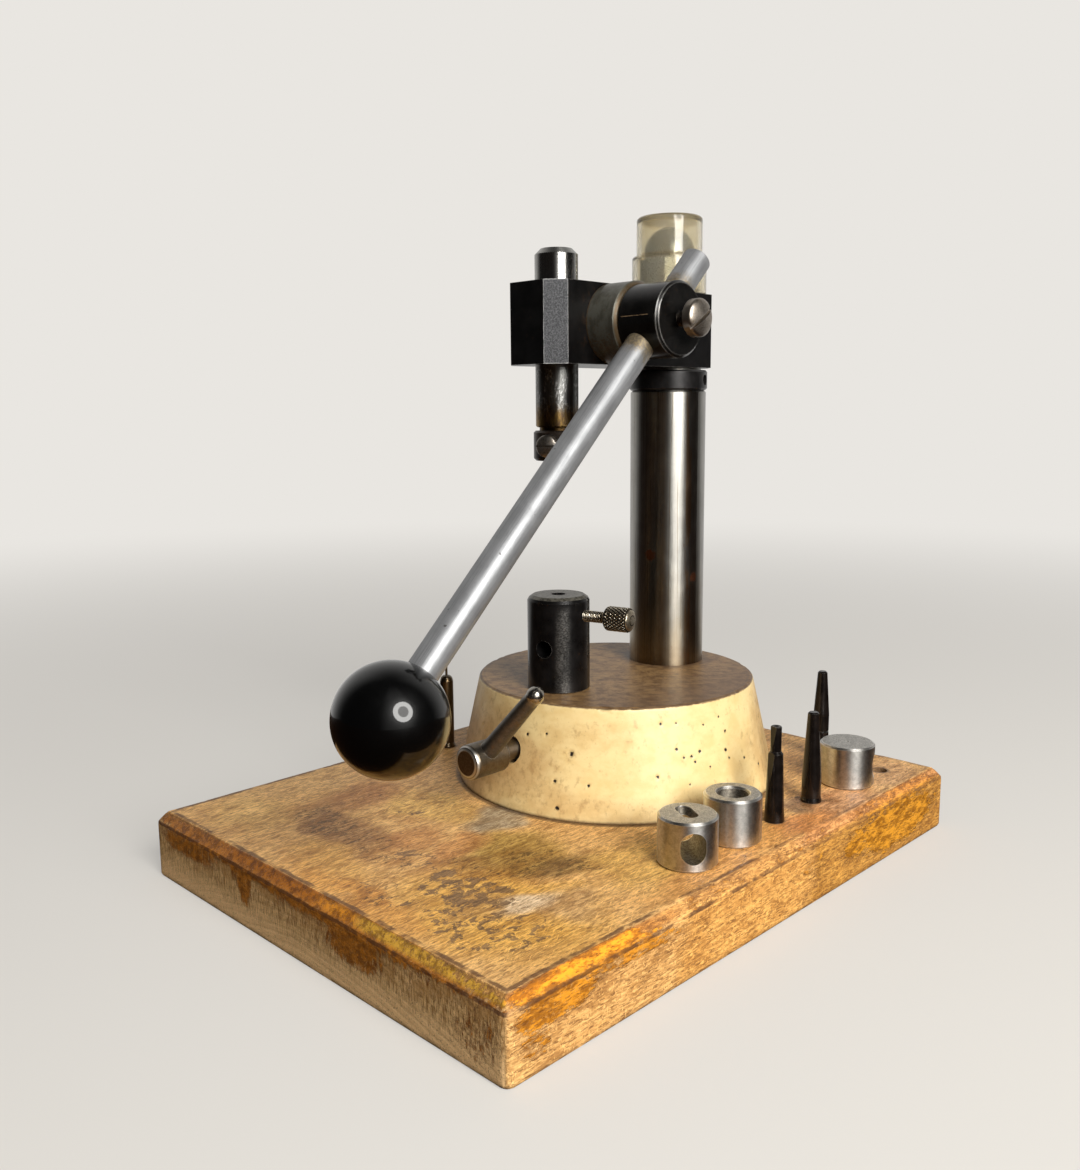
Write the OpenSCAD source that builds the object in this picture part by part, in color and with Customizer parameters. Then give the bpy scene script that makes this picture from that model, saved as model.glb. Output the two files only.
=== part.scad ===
// Bench rivet press: a rack-and-pinion ram on a round column, over an anvil holder on a
// conical pedestal, all on a wooden board that also stores punches and dies.
// Millimetres. +Z is up, +Y runs from the board's front edge to its back, +X is the
// operator's right. The origin is the middle of the board's underside.

/* [Board] */
// Width of the board, left to right
board_w = 215; // [205:1:280]
// Depth of the board, front to back
board_d = 280; // [270:1:340]
// Thickness of the board
board_t = 28; // [22:1:40]
// Chamfer round the board's top edge
board_chamfer = 4; // [1:0.5:6]
// Rounding of the board's upright corners
board_corner_r = 3; // [1:0.5:8]

/* [Pedestal] */
// Pedestal centre from the board's centre, left to right
ped_x = -4; // [-6:0.5:6]
// Pedestal centre from the board's centre, front to back
ped_y = 36; // [20:1:40]
// Height of the pedestal
ped_h = 46; // [44:1:60]
// Diameter of the pedestal's machined top
ped_top_d = 125; // [120:1:132]
// Diameter of the pedestal's foot
ped_bottom_d = 145; // [136:1:150]
// Radius of the circle of screws that hold the pedestal to the board
ped_screw_circle_r = 54; // [50:1:56]

/* [Column] */
// Distance between the ram's axis and the column's axis
throat = 75; // [70:1:80]
// Diameter of the column
column_d = 35; // [30:0.5:40]
// Height of the column above the pedestal
column_h = 128; // [115:1:150]
// How deep the column sits in the pedestal
column_depth = 24; // [18:1:25]
// Diameter of the spigot that the head turns on
spigot_d = 20; // [18:0.5:22]
// Diameter of the threaded stud on top of the column
stud_d = 16; // [12:0.5:17]

/* [Collar] */
// Outside diameter of the support collar under the head
collar_d = 36; // [33:0.5:42]
// Height of the support collar
collar_h = 9; // [7:0.5:14]
// Direction of the collar's set screw, from +X towards +Y
collar_screw_angle = 18; // [-180:1:180]
// Thickness of the thrust washer between collar and head
thrust_t = 1; // [0.5:0.25:2]

/* [Head] */
// Width of the head bar
head_w = 33; // [32:0.5:36]
// Height of the head bar
head_h = 33; // [31:0.5:40]
// Distance from the ram's or column's axis to the head bar's near end
head_end = 17.5; // [16:0.5:20]
// Chamfer on the head bar's four upright corners
head_chamfer = 7; // [4:0.5:8]

/* [Cap] */
// Outside diameter of the cap's skirt
cap_skirt_d = 34; // [33:0.5:36]
// Height of the cap's skirt
cap_skirt_h = 17; // [16.5:0.5:22]
// Outside diameter of the cap's upper part
cap_top_d = 30; // [28:0.5:31]
// Height of the whole cap
cap_h = 34.5; // [34:0.5:44]
// Wall of the cap
cap_wall = 2.2; // [1.6:0.1:2.4]

/* [Ram] */
// Diameter of the ram
ram_d = 18; // [16:0.5:20]
// How far the ram stands above the head at rest
ram_above = 14; // [10:0.5:24]
// How far the ram reaches below the head at rest, to the punch collar's lower face
ram_below = 39.5; // [34:0.5:46]
// Diameter of the punch collar on the ram's lower end
punch_collar_d = 20; // [19:0.5:24]
// Height of the punch collar
punch_collar_h = 12.5; // [11:0.5:16]
// Direction of the punch clamp screw, from +X towards +Y
punch_screw_angle = -68; // [-180:1:180]

/* [Pinion and lever] */
// Number of pinion teeth, each one millimetre of module
pinion_teeth = 17; // [17:1:19]
// Width of the pinion
pinion_w = 12; // [8:0.5:14]
// Outside diameter of the bearing sleeve on the head's right side
sleeve_d = 33; // [30:0.5:34]
// How far the bearing sleeve stands out of the head
sleeve_out = 15.2; // [13:0.2:20]
// Diameter of the lever hub
hub_d = 30; // [27:0.5:32]
// Length of the lever hub outside the sleeve
hub_len = 20; // [18:0.5:24]
// Diameter of the lever rod
rod_d = 12; // [10:0.5:13]
// Distance from the hub's axis to the knob's centre
rod_reach = 193.5; // [150:0.5:200]
// Length of the rod's tail behind the hub's axis
rod_tail = 38; // [30:1:50]
// Angle of the lever below level at rest
lever_angle = 44.5; // [35:0.5:50]
// Diameter of the ball knob
knob_d = 40; // [32:1:44]

/* [Anvil] */
// Diameter of the anvil holder
anvil_d = 27; // [25:0.5:30]
// Height of the anvil holder above the pedestal
anvil_h = 41; // [36:1:46]
// Direction of the thumb screw, from +X towards +Y
thumb_angle = 13; // [-20:1:30]
// Height of the thumb screw's axis above the pedestal
thumb_z = 32.6; // [29:0.2:34]
// Diameter of the thumb screw's knurled head
thumb_head_d = 10.5; // [9:0.5:12]

/* [Pedestal clamp] */
// Height of the clamp spindle's axis above the board
clamp_z = 24.2; // [22:0.2:26]
// Diameter of the spindle's outer body
clamp_body_d = 14.5; // [12:0.5:16]
// Length of the spindle's outer body
clamp_body_len = 19.5; // [17:0.5:24]
// Length of the handle from the spindle's axis to its tip
clamp_handle_len = 48.5; // [35:0.5:50]
// Lean of the handle from upright, towards +X
clamp_handle_angle = 44; // [30:1:60]

/* [Punches and dies] */
// Diameter of a punch's shank, which fits the ram, the anvil and the board
punch_shank_d = 6; // [5:0.5:6.5]
// Length of a punch's shank
punch_shank_len = 15; // [10:0.5:18]
// Outside diameter of a die
die_d = 22.6; // [20:0.2:24]
// Height of a die
die_h = 18.8; // [15:0.2:22]
// Distance of the storage row from the board's centre line
store_x = 85.5; // [82:0.5:88]

/* [Hidden] */

$fn = 64;

// Clearances, each on the radius or between two faces
running = 0.05;
gap = 0.3;
punch_clearance = 0.05;
board_hole_clearance = 0.25;
small = 0.01;
overlap = 1;

// Heights of the main faces
ped_z = board_t;
ped_top_z = ped_z + ped_h;
column_top_z = ped_top_z + column_h;
collar_top_z = column_top_z + collar_h;
head_z = collar_top_z + thrust_t;
head_top_z = head_z + head_h;

// The two upright axes, half the throat in front of and behind the pedestal's centre
axis_x = ped_x;
ram_y = ped_y - throat / 2;
column_y = ped_y + throat / 2;

// Column and its fastenings
column_bolt_d = 10;
column_bolt_head_d = 16;
column_bolt_head_h = 10;
column_bolt_grip = 20;
column_bolt_room = 2;
socket_10_d = 9;
socket_10_h = 5;
column_washer_t = 2;
column_washer_d = 20;
washer_play = 0.4;
column_web = 6;
column_recess_z = ped_top_z - column_depth - column_web;
column_edge = 1;
spigot_top_z = head_top_z - 0.3;
top_washer_t = 2.5;
top_washer_d = 28;
nut_z = head_top_z + top_washer_t;
nut_flats = 24;
nut_hex_h = 13;
nut_h = 28;
nut_dome_d = 22.8;
stud_len = 22;
stud_room = 0.5;
stud_edge = 1;
stud_top_z = nut_z + stud_len;

// Cap
cap_z = head_top_z + gap;
cap_bore_d = cap_skirt_d - 2 * cap_wall;
cap_top_bore_d = cap_top_d - 2 * cap_wall;
cap_edge = 1;
cap_ledge = 0.9;
cap_step_edge = 0.6;

// Pedestal screws
ped_screw_d = 8;
ped_screw_grip = 12.4;
ped_screw_head_d = 14.4;
ped_screw_head_h = 5.3;
ped_washer_d = 16;
ped_washer_t = 1.6;
ped_recess_d = 18;
ped_recess = 8;
ped_screw_len = board_t - ped_recess + ped_washer_t + ped_screw_grip;
ped_screw_angles = [30, 150, 270];
ped_edge = 0.8;
ped_screw_room = 1;

// Collar
collar_bore_d = spigot_d + 2 * running;
collar_screw_d = 5;
collar_screw_len = 4;
collar_socket_d = 2.9;
set_socket_h = 2;
collar_edge = 0.8;
thrust_d = 30;

// Rack and pinion, one millimetre of module
gear_module = 1;
pressure_angle = 20;
backlash = 0.12;
root_gap = 0.25;
pinion_r = gear_module * pinion_teeth / 2;
pinion_tip_r = pinion_r + gear_module;
pinion_root_r = pinion_r - gear_module - root_gap;
pinion_base_r = pinion_r * cos(pressure_angle);
rack_pitch_y = ram_d / 2 - gear_module;
rack_root_y = rack_pitch_y - gear_module - root_gap;
rack_pitch = PI * gear_module;
rack_first = -8;
rack_last = 3;

// Pinion shaft, along +X between the ram and the column
shaft_y = ram_y + rack_pitch_y + pinion_r;
shaft_z = head_z + head_h / 2;
head_left_x = axis_x - head_w / 2;
head_right_x = axis_x + head_w / 2;
journal_d = 12;
left_journal_d = 10;
left_bush_d = 16;
pinion_bore_d = 2 * pinion_tip_r + 2 * gap;
pinion_left_x = axis_x - pinion_w / 2;
pinion_right_x = axis_x + pinion_w / 2;
pinion_bore_left_x = pinion_left_x - 0.5;
sleeve_spigot_d = pinion_bore_d + 2.2;
spigot_offset = rack_pitch_y + pinion_r - sleeve_spigot_d / 2;
ram_bore_r = ram_d / 2 + running;
ram_bore_chord = sqrt(max(0, ram_bore_r * ram_bore_r - spigot_offset * spigot_offset));
sleeve_spigot_x = axis_x + max(pinion_w / 2 + 1.5, ram_bore_chord + gap);
sleeve_end_x = head_right_x + sleeve_out;
neck_d = 19.6;
neck_len = 10;
neck_bore_d = neck_d + 2 * gap;
hub_x = sleeve_end_x + gap;
hub_end_x = hub_x + hub_len;
rod_wall = 1.5;
rod_x = hub_x + rod_d / 2 + rod_wall;
hub_edge = 1;
hub_back_edge = 0.4;
sleeve_edge = 1.2;
neck_end_play = 0.5;
shaft_past_neck = 0.7;
shaft_end_x = hub_x + shaft_past_neck;
hub_pin_d = 3;
hub_pin_x = hub_x - neck_len / 2;
end_washer_d = 16;
end_washer_t = 1.5;
end_screw_d = 5;
end_screw_len = 10;
end_screw_head_d = 8.5;
end_screw_head_h = 3.3;
end_slot_w = 1.2;
end_slot_depth = 1.4;

// Lever lock screw, on the hub's axis
lock_d = 6;
lock_head_d = 14.8;
lock_shank_out = 5.6;
lock_head_t = 3.5;
lock_dome = 2.2;
lock_slot_w = 1.6;
lock_slot_depth = 2.4;
lock_slot_angle = 33;
lock_start_x = rod_x + rod_d / 2 + gap;

// Drag screw and plug on the head's left side
drag_d = 6;
drag_plug_len = 3.5;
drag_inset = 0.4;
drag_socket_d = 3.4;
drag_screw_len = head_w / 2 - ram_d / 2 - running - gap - drag_plug_len - drag_inset;

// Lever rod and knob
rod_edge = 1.2;
knob_flat_r = 6.8;
knob_flat = sqrt(knob_d * knob_d / 4 - knob_flat_r * knob_flat_r);
knob_thread_d = 8;
knob_thread_len = 13;
insert_d = 12;
insert_len = 16;

// Ram and punch collar
ram_top_z = head_top_z + ram_above;
ram_bottom_z = head_z - ram_below;
ram_edge = 2.4;
ram_neck_step = 1.5;
ram_neck_d = ram_d - 2 * ram_neck_step;
ram_neck_h = 1.4;
ram_spigot_step = 2;
ram_spigot_d = ram_d - 2 * ram_spigot_step;
socket_d = punch_shank_d + 2 * punch_clearance;
socket_len = 20;
punch_screw_d = 5;
punch_screw_z = ram_bottom_z + punch_collar_h / 2;
punch_screw_head_d = 9.2;
punch_screw_head_t = 3.2;
punch_screw_dome = 1.4;
punch_screw_flat = 0.9;
punch_slot_w = 1;
punch_slot_depth = 1.3;
ram_shoulder = 0.6;

// Anvil
anvil_edge = 2.3;
anvil_edge_in = 0.7;
anvil_edge_down = 1.1;
anvil_foot_edge = 0.4;
stem_edge = 1;
stem_room = 1;
boss_room = 0.5;
anvil_web = 4.5;
stem_d = 16;
stem_len = 28;
stem_boss_d = 12;
stem_boss_h = 8;
anvil_hole_d = 7.5;
anvil_hole_up = 19;
anvil_hole_z = ped_top_z + anvil_hole_up;
anvil_hole_turn = 88;
anvil_hole_angle = thumb_angle - anvil_hole_turn;
anvil_bore_len = anvil_h - stem_boss_h - boss_room - anvil_web;
thumb_d = 5;
thumb_shank_out = 9;
thumb_cone_len = 1.6;
thumb_neck = anvil_d / 2 + thumb_shank_out;
thumb_head_start = thumb_neck + thumb_cone_len;
thumb_edge = 0.6;
thumb_dome = 1.2;
thumb_cap_step = 0.8;
thumb_knurl_len = 10.6;
thumb_cap_in = 1;
thumb_cap_d = thumb_head_d - 2 * thumb_cap_step;

// Pedestal clamp, along -Y through the anvil stem's axis
clamp_axis_z = ped_z + clamp_z;
clamp_thread_d = 10;
clamp_shank_d = 9.4;
clamp_shank_out = 5.5;
clamp_face_y = ped_y - ped_bottom_d / 2 + (ped_bottom_d - ped_top_d) / 2 * clamp_z / ped_h;
clamp_body_y = clamp_face_y - clamp_shank_out;
clamp_end_y = clamp_body_y - clamp_body_len;
clamp_stem_y = ram_y - stem_d / 2;
clamp_pad_len = 5;
clamp_pad_y = clamp_stem_y - gap - clamp_pad_len;
clamp_handle_in = 9;
clamp_handle_y = clamp_end_y + clamp_handle_in;
clamp_handle_d = 8;
clamp_handle_neck_d = 6.4;
clamp_tip_d = 7.2;
clamp_mouth_d = 11.4;
clamp_edge = 1.9;
clamp_edge_in = 0.7;
clamp_edge_down = 0.5;
clamp_shoulder = 1.8;
clamp_mouth_depth = 3;

// Punch store: a row of holes along the right side, one at the back and one at the left
store_pitch = 30;
store_hole_d = punch_shank_d + 2 * board_hole_clearance;
store_hole_room = 3;
store_hole_depth = punch_shank_len + store_hole_room;
hollow_pos = [store_x + 1, 30];
taper_pos = [store_x, 2 * store_pitch];
long_taper_pos = [57, 116];
needle_pos = [-store_x, 3];
spare_shift = 2.5;
spare_pos = [store_x + spare_shift, 116];
cross_die_pos = [store_x, -26.6];
open_die_pos = [store_x - 0.7, 3];
small_die_pos = [store_x - 0.7, 91];
punch_holes = [hollow_pos, taper_pos, long_taper_pos, needle_pos, spare_pos];
punch_flange_d = 8.3;
punch_shank_edge = 0.5;
small_die_d = die_d + 1;
die_edge = 0.8;
side_hole_w = 9.6;
side_hole_h = 12;
side_hole_up = 9.2;
cross_die_angle = -41;
cross_slot_w = 6.3;
cross_slot_half = 3.15;
cross_slot_shift = 1.2;
cross_slot_turn = 11.5;
open_bore_d = 12.2;
open_bore_edge = 0.7;
small_hole_d = 1.6;
small_cross_angle = 30;

// The four punches, sized above the board
punch_foot_h = 0.8;
hollow_h = 39.6;
hollow_shoulder_h = 29.2;
hollow_tip_d = 4.4;
hollow_hole_d = 2.2;
hollow_hole_len = 8;
hollow_step = 0.35;
hollow_taper = 0.8;
hollow_foot_h = 6;
hollow_edge = 0.3;
hollow_flat_top_r = 1.5;
hollow_flat_lean = 4.7;
hollow_flat_angle = -103;
taper_h = 39;
taper_foot_d = 8.8;
taper_body_d = 8;
taper_body_h = 11;
taper_middle_d = 6.8;
taper_middle_h = 21;
taper_foot_step = 0.3;
taper_foot_end = 2;
taper_tip_d = 4.6;
taper_edge = 0.6;
long_taper_h = 41.7;
long_taper_d = 7.2;
long_taper_start = 21;
long_taper_tip_d = 4.5;
long_taper_edge = 0.7;
long_groove_h = 12.5;
long_groove = 0.4;
needle_h = 43.9;
needle_foot_d = 7.6;
needle_body_d = 6.5;
needle_body_h = 36;
needle_foot_end = 2;
needle_shoulder_start = 2.5;
needle_shoulder_middle = 0.8;
needle_shoulder_in = 0.5;
needle_shoulder_end = 1.3;
needle_tip_d = 1.2;
needle_tip_len = 0.5;

// Places children on the pinion's axis with their +Z along +X, starting at x
module on_shaft(x) {
    translate([x, shaft_y, shaft_z]) rotate([0, 90, 0]) children();
}

// A bar along +X from x0 to x1, on the pinion's axis
module shaft_bar(x0, x1, d) {
    on_shaft(x0) cylinder(d = d, h = x1 - x0);
}

// Places children on the lever's line with their +Z towards the knob
module along_lever() {
    translate([rod_x, shaft_y, shaft_z]) rotate([90 + lever_angle, 0, 0]) children();
}

// Places children with their +Z level, pointing away from an upright axis
module pointing_out(x, y, z, angle) {
    translate([x, y, z]) rotate([0, 0, angle]) rotate([0, 90, 0]) children();
}

// Places children on the clamp's axis with their +Z towards the operator, starting at y
module on_clamp(y) {
    translate([axis_x, y, clamp_axis_z]) rotate([90, 0, 0]) children();
}

// An upright round bar with a chamfer at each end
module round_bar(d, h, bottom = 0, top = 0) {
    r = d / 2;
    rotate_extrude()
        polygon([[0, 0], [r - bottom, 0], [r, bottom], [r, h - top], [r - top, h], [0, h]]);
}

// A round bar with a shallow domed end
module domed_bar(d, h, dome) {
    r = d / 2;
    steps = 6;
    arc = [for (i = [0:steps]) [r * cos(90 * i / steps), h + dome * sin(90 * i / steps)]];
    rotate_extrude() polygon(concat([[0, 0], [r, 0]], arc));
}

// A ring of rectangular section
module ring(outer_d, inner_d, h) {
    difference() {
        cylinder(d = outer_d, h = h);
        translate([0, 0, -1]) cylinder(d = inner_d, h = h + 2);
    }
}

// Place of one pedestal screw
function ped_screw_at(angle) =
    [ped_x + ped_screw_circle_r * cos(angle), ped_y + ped_screw_circle_r * sin(angle), 0];

// Plan of the board with rounded upright corners
module board_plan() {
    inner_w = board_w - 2 * board_corner_r;
    inner_d = board_d - 2 * board_corner_r;
    square([inner_w, board_d], center = true);
    square([board_w, inner_d], center = true);
    for (sx = [-1, 1], sy = [-1, 1])
        translate([sx * inner_w / 2, sy * inner_d / 2]) circle(r = board_corner_r);
}

// Two prisms that cut the chamfer on opposite edges of the board
module board_chamfers(length, across, turn) {
    c = board_chamfer;
    for (side = [0, 180]) rotate([0, 0, turn + side]) translate([across / 2, 0, board_t])
        rotate([90, 0, 0]) linear_extrude(length + 2, center = true)
            polygon([[-c, 0], [-c, 1], [1, 1], [1, -c], [0, -c]]);
}

module base_board() {
    color("peru") difference() {
        linear_extrude(board_t) board_plan();
        board_chamfers(board_d, board_w, 0);
        board_chamfers(board_w, board_d, 90);
        for (place = punch_holes) translate([place[0], place[1], board_t - store_hole_depth])
            cylinder(d = store_hole_d, h = store_hole_depth + 1);
        for (angle = ped_screw_angles) translate(ped_screw_at(angle)) {
            translate([0, 0, -1]) cylinder(d = ped_screw_d + 1, h = board_t + 2);
            translate([0, 0, -1]) cylinder(d = ped_recess_d, h = ped_recess + 1);
        }
    }
}

module pedestal() {
    bolt_hole_d = column_bolt_d + 1;
    recess_d = column_washer_d + 2;
    screw_depth = ped_screw_grip + ped_screw_room;
    slope = (ped_bottom_d - ped_top_d) / 2 / ped_h;
    color("antiquewhite") difference() {
        translate([ped_x, ped_y, ped_z]) rotate_extrude($fn = 180) polygon([
            [0, 0],
            [ped_bottom_d / 2, 0],
            [ped_top_d / 2 + ped_edge * slope, ped_h - ped_edge],
            [ped_top_d / 2 - ped_edge, ped_h],
            [0, ped_h]
        ]);
        translate([axis_x, column_y, ped_top_z - column_depth]) cylinder(d = column_d, h = column_depth + 1);
        translate([axis_x, column_y, ped_z - 1]) cylinder(d = bolt_hole_d, h = ped_h);
        translate([axis_x, column_y, ped_z - 1]) cylinder(d = recess_d, h = column_recess_z - ped_z + 1);
        translate([axis_x, ram_y, ped_top_z - stem_len - stem_room])
            cylinder(d = stem_d + 2 * running, h = stem_len + stem_room + 1);
        on_clamp(ram_y) cylinder(d = clamp_thread_d + 2 * running, h = ped_bottom_d / 2);
        on_clamp(clamp_face_y + clamp_mouth_depth) cylinder(d = clamp_mouth_d, h = ped_bottom_d / 2);
        for (angle = ped_screw_angles) translate(ped_screw_at(angle)) translate([0, 0, ped_z - 1])
            cylinder(d = ped_screw_d, h = screw_depth + 1);
    }
}

module pedestal_screws() {
    color("dimgray") for (angle = ped_screw_angles) translate(ped_screw_at(angle)) {
        under_z = ped_recess - ped_washer_t;
        translate([0, 0, under_z - ped_screw_head_h])
            cylinder(d = ped_screw_head_d, h = ped_screw_head_h, $fn = 6);
        translate([0, 0, under_z - small]) cylinder(d = ped_screw_d, h = ped_screw_len);
    }
}

module pedestal_washers() {
    color("silver") for (angle = ped_screw_angles) translate(ped_screw_at(angle))
        translate([0, 0, ped_recess - ped_washer_t])
            ring(ped_washer_d, ped_screw_d + washer_play, ped_washer_t);
}

module column() {
    foot_z = ped_top_z - column_depth;
    color("lightsteelblue") difference() {
        union() {
            translate([axis_x, column_y, foot_z])
                round_bar(column_d, column_top_z - foot_z, column_edge, column_edge);
            translate([axis_x, column_y, column_top_z - 1])
                cylinder(d = spigot_d, h = spigot_top_z - column_top_z + 1);
            translate([axis_x, column_y, spigot_top_z - 1])
                round_bar(stud_d, stud_top_z - spigot_top_z + 1, 0, stud_edge);
        }
        translate([axis_x, column_y, foot_z - 1])
            cylinder(d = column_bolt_d, h = column_bolt_grip + column_bolt_room + 1);
    }
}

module column_bolt() {
    under_z = column_recess_z - column_washer_t;
    color("dimgray") translate([axis_x, column_y, under_z]) difference() {
        union() {
            translate([0, 0, -column_bolt_head_h]) cylinder(d = column_bolt_head_d, h = column_bolt_head_h);
            translate([0, 0, -small])
                cylinder(d = column_bolt_d, h = column_washer_t + column_web + column_bolt_grip);
        }
        translate([0, 0, -column_bolt_head_h - 1]) cylinder(d = socket_10_d, h = socket_10_h + 1, $fn = 6);
    }
}

module column_washer() {
    color("silver") translate([axis_x, column_y, column_recess_z - column_washer_t])
        ring(column_washer_d, column_bolt_d + washer_play, column_washer_t);
}

module support_collar() {
    color("black") difference() {
        translate([axis_x, column_y, column_top_z])
            round_bar(collar_d, collar_h, collar_edge, collar_edge);
        translate([axis_x, column_y, column_top_z - 1]) cylinder(d = collar_bore_d, h = collar_h + 2);
        pointing_out(axis_x, column_y, column_top_z + collar_h / 2, collar_screw_angle)
            cylinder(d = collar_screw_d, h = collar_d);
    }
}

module collar_set_screw() {
    start = spigot_d / 2 + gap;
    color("dimgray")
        pointing_out(axis_x, column_y, column_top_z + collar_h / 2, collar_screw_angle) difference() {
            translate([0, 0, start]) cylinder(d = collar_screw_d, h = collar_screw_len);
            translate([0, 0, start + collar_screw_len - set_socket_h])
                cylinder(d = collar_socket_d, h = set_socket_h + 1, $fn = 6);
        }
}

module thrust_washer() {
    color("silver") translate([axis_x, column_y, collar_top_z])
        ring(thrust_d, collar_bore_d, thrust_t);
}

module top_washer() {
    color("silver") translate([axis_x, column_y, head_top_z])
        ring(top_washer_d, stud_d + washer_play, top_washer_t);
}

module dome_nut() {
    hex_d = nut_flats / cos(30);
    dome_r = nut_dome_d / 2;
    color("dimgray") translate([axis_x, column_y, nut_z]) difference() {
        union() {
            cylinder(d = hex_d, h = nut_hex_h, $fn = 6);
            cylinder(d = nut_dome_d, h = nut_h - dome_r);
            translate([0, 0, nut_h - dome_r]) sphere(d = nut_dome_d);
        }
        translate([0, 0, -1]) cylinder(d = stud_d, h = stud_len + stud_room + 1);
    }
}

module column_cap() {
    r = cap_skirt_d / 2;
    top_r = cap_top_d / 2;
    step = cap_skirt_h - cap_ledge;
    color([0.85, 0.78, 0.6, 0.6]) translate([axis_x, column_y, cap_z]) rotate_extrude() polygon([
        [cap_bore_d / 2, 0],
        [r, 0],
        [r, cap_skirt_h - cap_step_edge],
        [r - cap_step_edge, cap_skirt_h],
        [top_r, cap_skirt_h],
        [top_r, cap_h - cap_edge],
        [top_r - cap_edge, cap_h],
        [0, cap_h],
        [0, cap_h - cap_wall],
        [cap_top_bore_d / 2, cap_h - cap_wall],
        [cap_top_bore_d / 2, step],
        [cap_bore_d / 2, step]
    ]);
}

// Plan of the head bar: a rectangle with its four corners cut off
module head_plan() {
    front = ram_y - head_end;
    back = column_y + head_end;
    c = head_chamfer;
    polygon([
        [head_left_x + c, front],
        [head_right_x - c, front],
        [head_right_x, front + c],
        [head_right_x, back - c],
        [head_right_x - c, back],
        [head_left_x + c, back],
        [head_left_x, back - c],
        [head_left_x, front + c]
    ]);
}

module head_block() {
    color([0.12, 0.12, 0.13]) difference() {
        translate([0, 0, head_z]) linear_extrude(head_h) head_plan();
        translate([axis_x, ram_y, head_z - 1]) cylinder(d = ram_d + 2 * running, h = head_h + 2);
        translate([axis_x, column_y, head_z - 1]) cylinder(d = spigot_d + 2 * running, h = head_h + 2);
        shaft_bar(pinion_bore_left_x, head_right_x - 1, pinion_bore_d);
        shaft_bar(sleeve_spigot_x, head_right_x + 1, sleeve_spigot_d);
        shaft_bar(head_left_x - 1, axis_x, left_bush_d);
        translate([head_left_x - 1, ram_y, shaft_z]) rotate([0, 90, 0]) cylinder(d = drag_d, h = head_w / 2);
    }
}

module bearing_sleeve() {
    color([0.33, 0.31, 0.29]) difference() {
        union() {
            on_shaft(head_right_x) round_bar(sleeve_d, sleeve_out, 0, sleeve_edge);
            shaft_bar(sleeve_spigot_x, head_right_x + 1, sleeve_spigot_d);
        }
        shaft_bar(sleeve_spigot_x - 1, sleeve_end_x + 1, journal_d + 2 * running);
        shaft_bar(hub_x - neck_len - neck_end_play, sleeve_end_x + 1, neck_bore_d);
    }
}

module left_bush() {
    color("darkgoldenrod") difference() {
        shaft_bar(head_left_x, pinion_bore_left_x, left_bush_d);
        shaft_bar(head_left_x - 1, axis_x, left_journal_d + 2 * running);
    }
}

module drag_plug() {
    start = axis_x - ram_d / 2 - running - gap - drag_plug_len;
    color("goldenrod") translate([start, ram_y, shaft_z]) rotate([0, 90, 0])
        cylinder(d = drag_d, h = drag_plug_len);
}

module drag_screw() {
    start = head_left_x + drag_inset;
    color("dimgray") translate([start, ram_y, shaft_z]) rotate([0, 90, 0]) difference() {
        cylinder(d = drag_d, h = drag_screw_len);
        translate([0, 0, -1]) cylinder(d = drag_socket_d, h = set_socket_h + 1, $fn = 6);
    }
}

// Trapezoidal gaps between the rack's teeth, one pitch apart, with one gap level with the pinion
module rack_gaps() {
    slope = tan(pressure_angle);
    outer_y = ram_d / 2 + 1;
    half = rack_pitch / 4;
    root_half = half - (rack_pitch_y - rack_root_y) * slope;
    outer_half = half + (outer_y - rack_pitch_y) * slope;
    for (i = [rack_first:rack_last])
        translate([axis_x, ram_y, shaft_z + i * rack_pitch]) rotate([90, 0, 90])
            linear_extrude(ram_d + 2, center = true) polygon([
                [rack_root_y, -root_half],
                [outer_y, -outer_half],
                [outer_y, outer_half],
                [rack_root_y, root_half]
            ]);
}

module ram() {
    neck_z = ram_bottom_z + punch_collar_h;
    body_z = neck_z + ram_neck_h;
    color("gainsboro") difference() {
        union() {
            translate([axis_x, ram_y, body_z]) round_bar(ram_d, ram_top_z - body_z, ram_shoulder, ram_edge);
            translate([axis_x, ram_y, neck_z]) cylinder(d = ram_neck_d, h = ram_neck_h + 1);
            translate([axis_x, ram_y, ram_bottom_z]) cylinder(d = ram_spigot_d, h = punch_collar_h + 1);
        }
        rack_gaps();
        translate([axis_x, ram_y, ram_bottom_z - 1]) cylinder(d = socket_d, h = socket_len + 1);
        punch_screw_bar(0, ram_d, punch_screw_d);
    }
}

// A bar on the punch clamp screw's axis, between two distances from the ram's axis
module punch_screw_bar(start, end, d) {
    pointing_out(axis_x, ram_y, punch_screw_z, punch_screw_angle)
        translate([0, 0, start]) cylinder(d = d, h = end - start);
}

module punch_collar() {
    face = punch_collar_d / 2 - punch_screw_flat;
    color([0.2, 0.19, 0.18]) difference() {
        translate([axis_x, ram_y, ram_bottom_z]) round_bar(punch_collar_d, punch_collar_h, 1, 0.8);
        translate([axis_x, ram_y, ram_bottom_z - 1]) cylinder(d = ram_spigot_d, h = punch_collar_h + 2);
        punch_screw_bar(0, punch_collar_d, punch_screw_d + 2 * running);
        punch_screw_bar(face, punch_collar_d, punch_screw_head_d + 2 * gap);
    }
}

module punch_clamp_screw() {
    face = punch_collar_d / 2 - punch_screw_flat;
    start = socket_d / 2 + gap;
    slot_z = face + punch_screw_head_t + punch_screw_dome - punch_slot_depth;
    color("silver") pointing_out(axis_x, ram_y, punch_screw_z, punch_screw_angle) difference() {
        union() {
            translate([0, 0, start]) cylinder(d = punch_screw_d - 2 * running, h = face - start + 1);
            translate([0, 0, face]) domed_bar(punch_screw_head_d, punch_screw_head_t, punch_screw_dome);
        }
        translate([-punch_slot_w / 2, -punch_screw_head_d, slot_z])
            cube([punch_slot_w, 2 * punch_screw_head_d, punch_slot_depth + 1]);
    }
}

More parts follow.
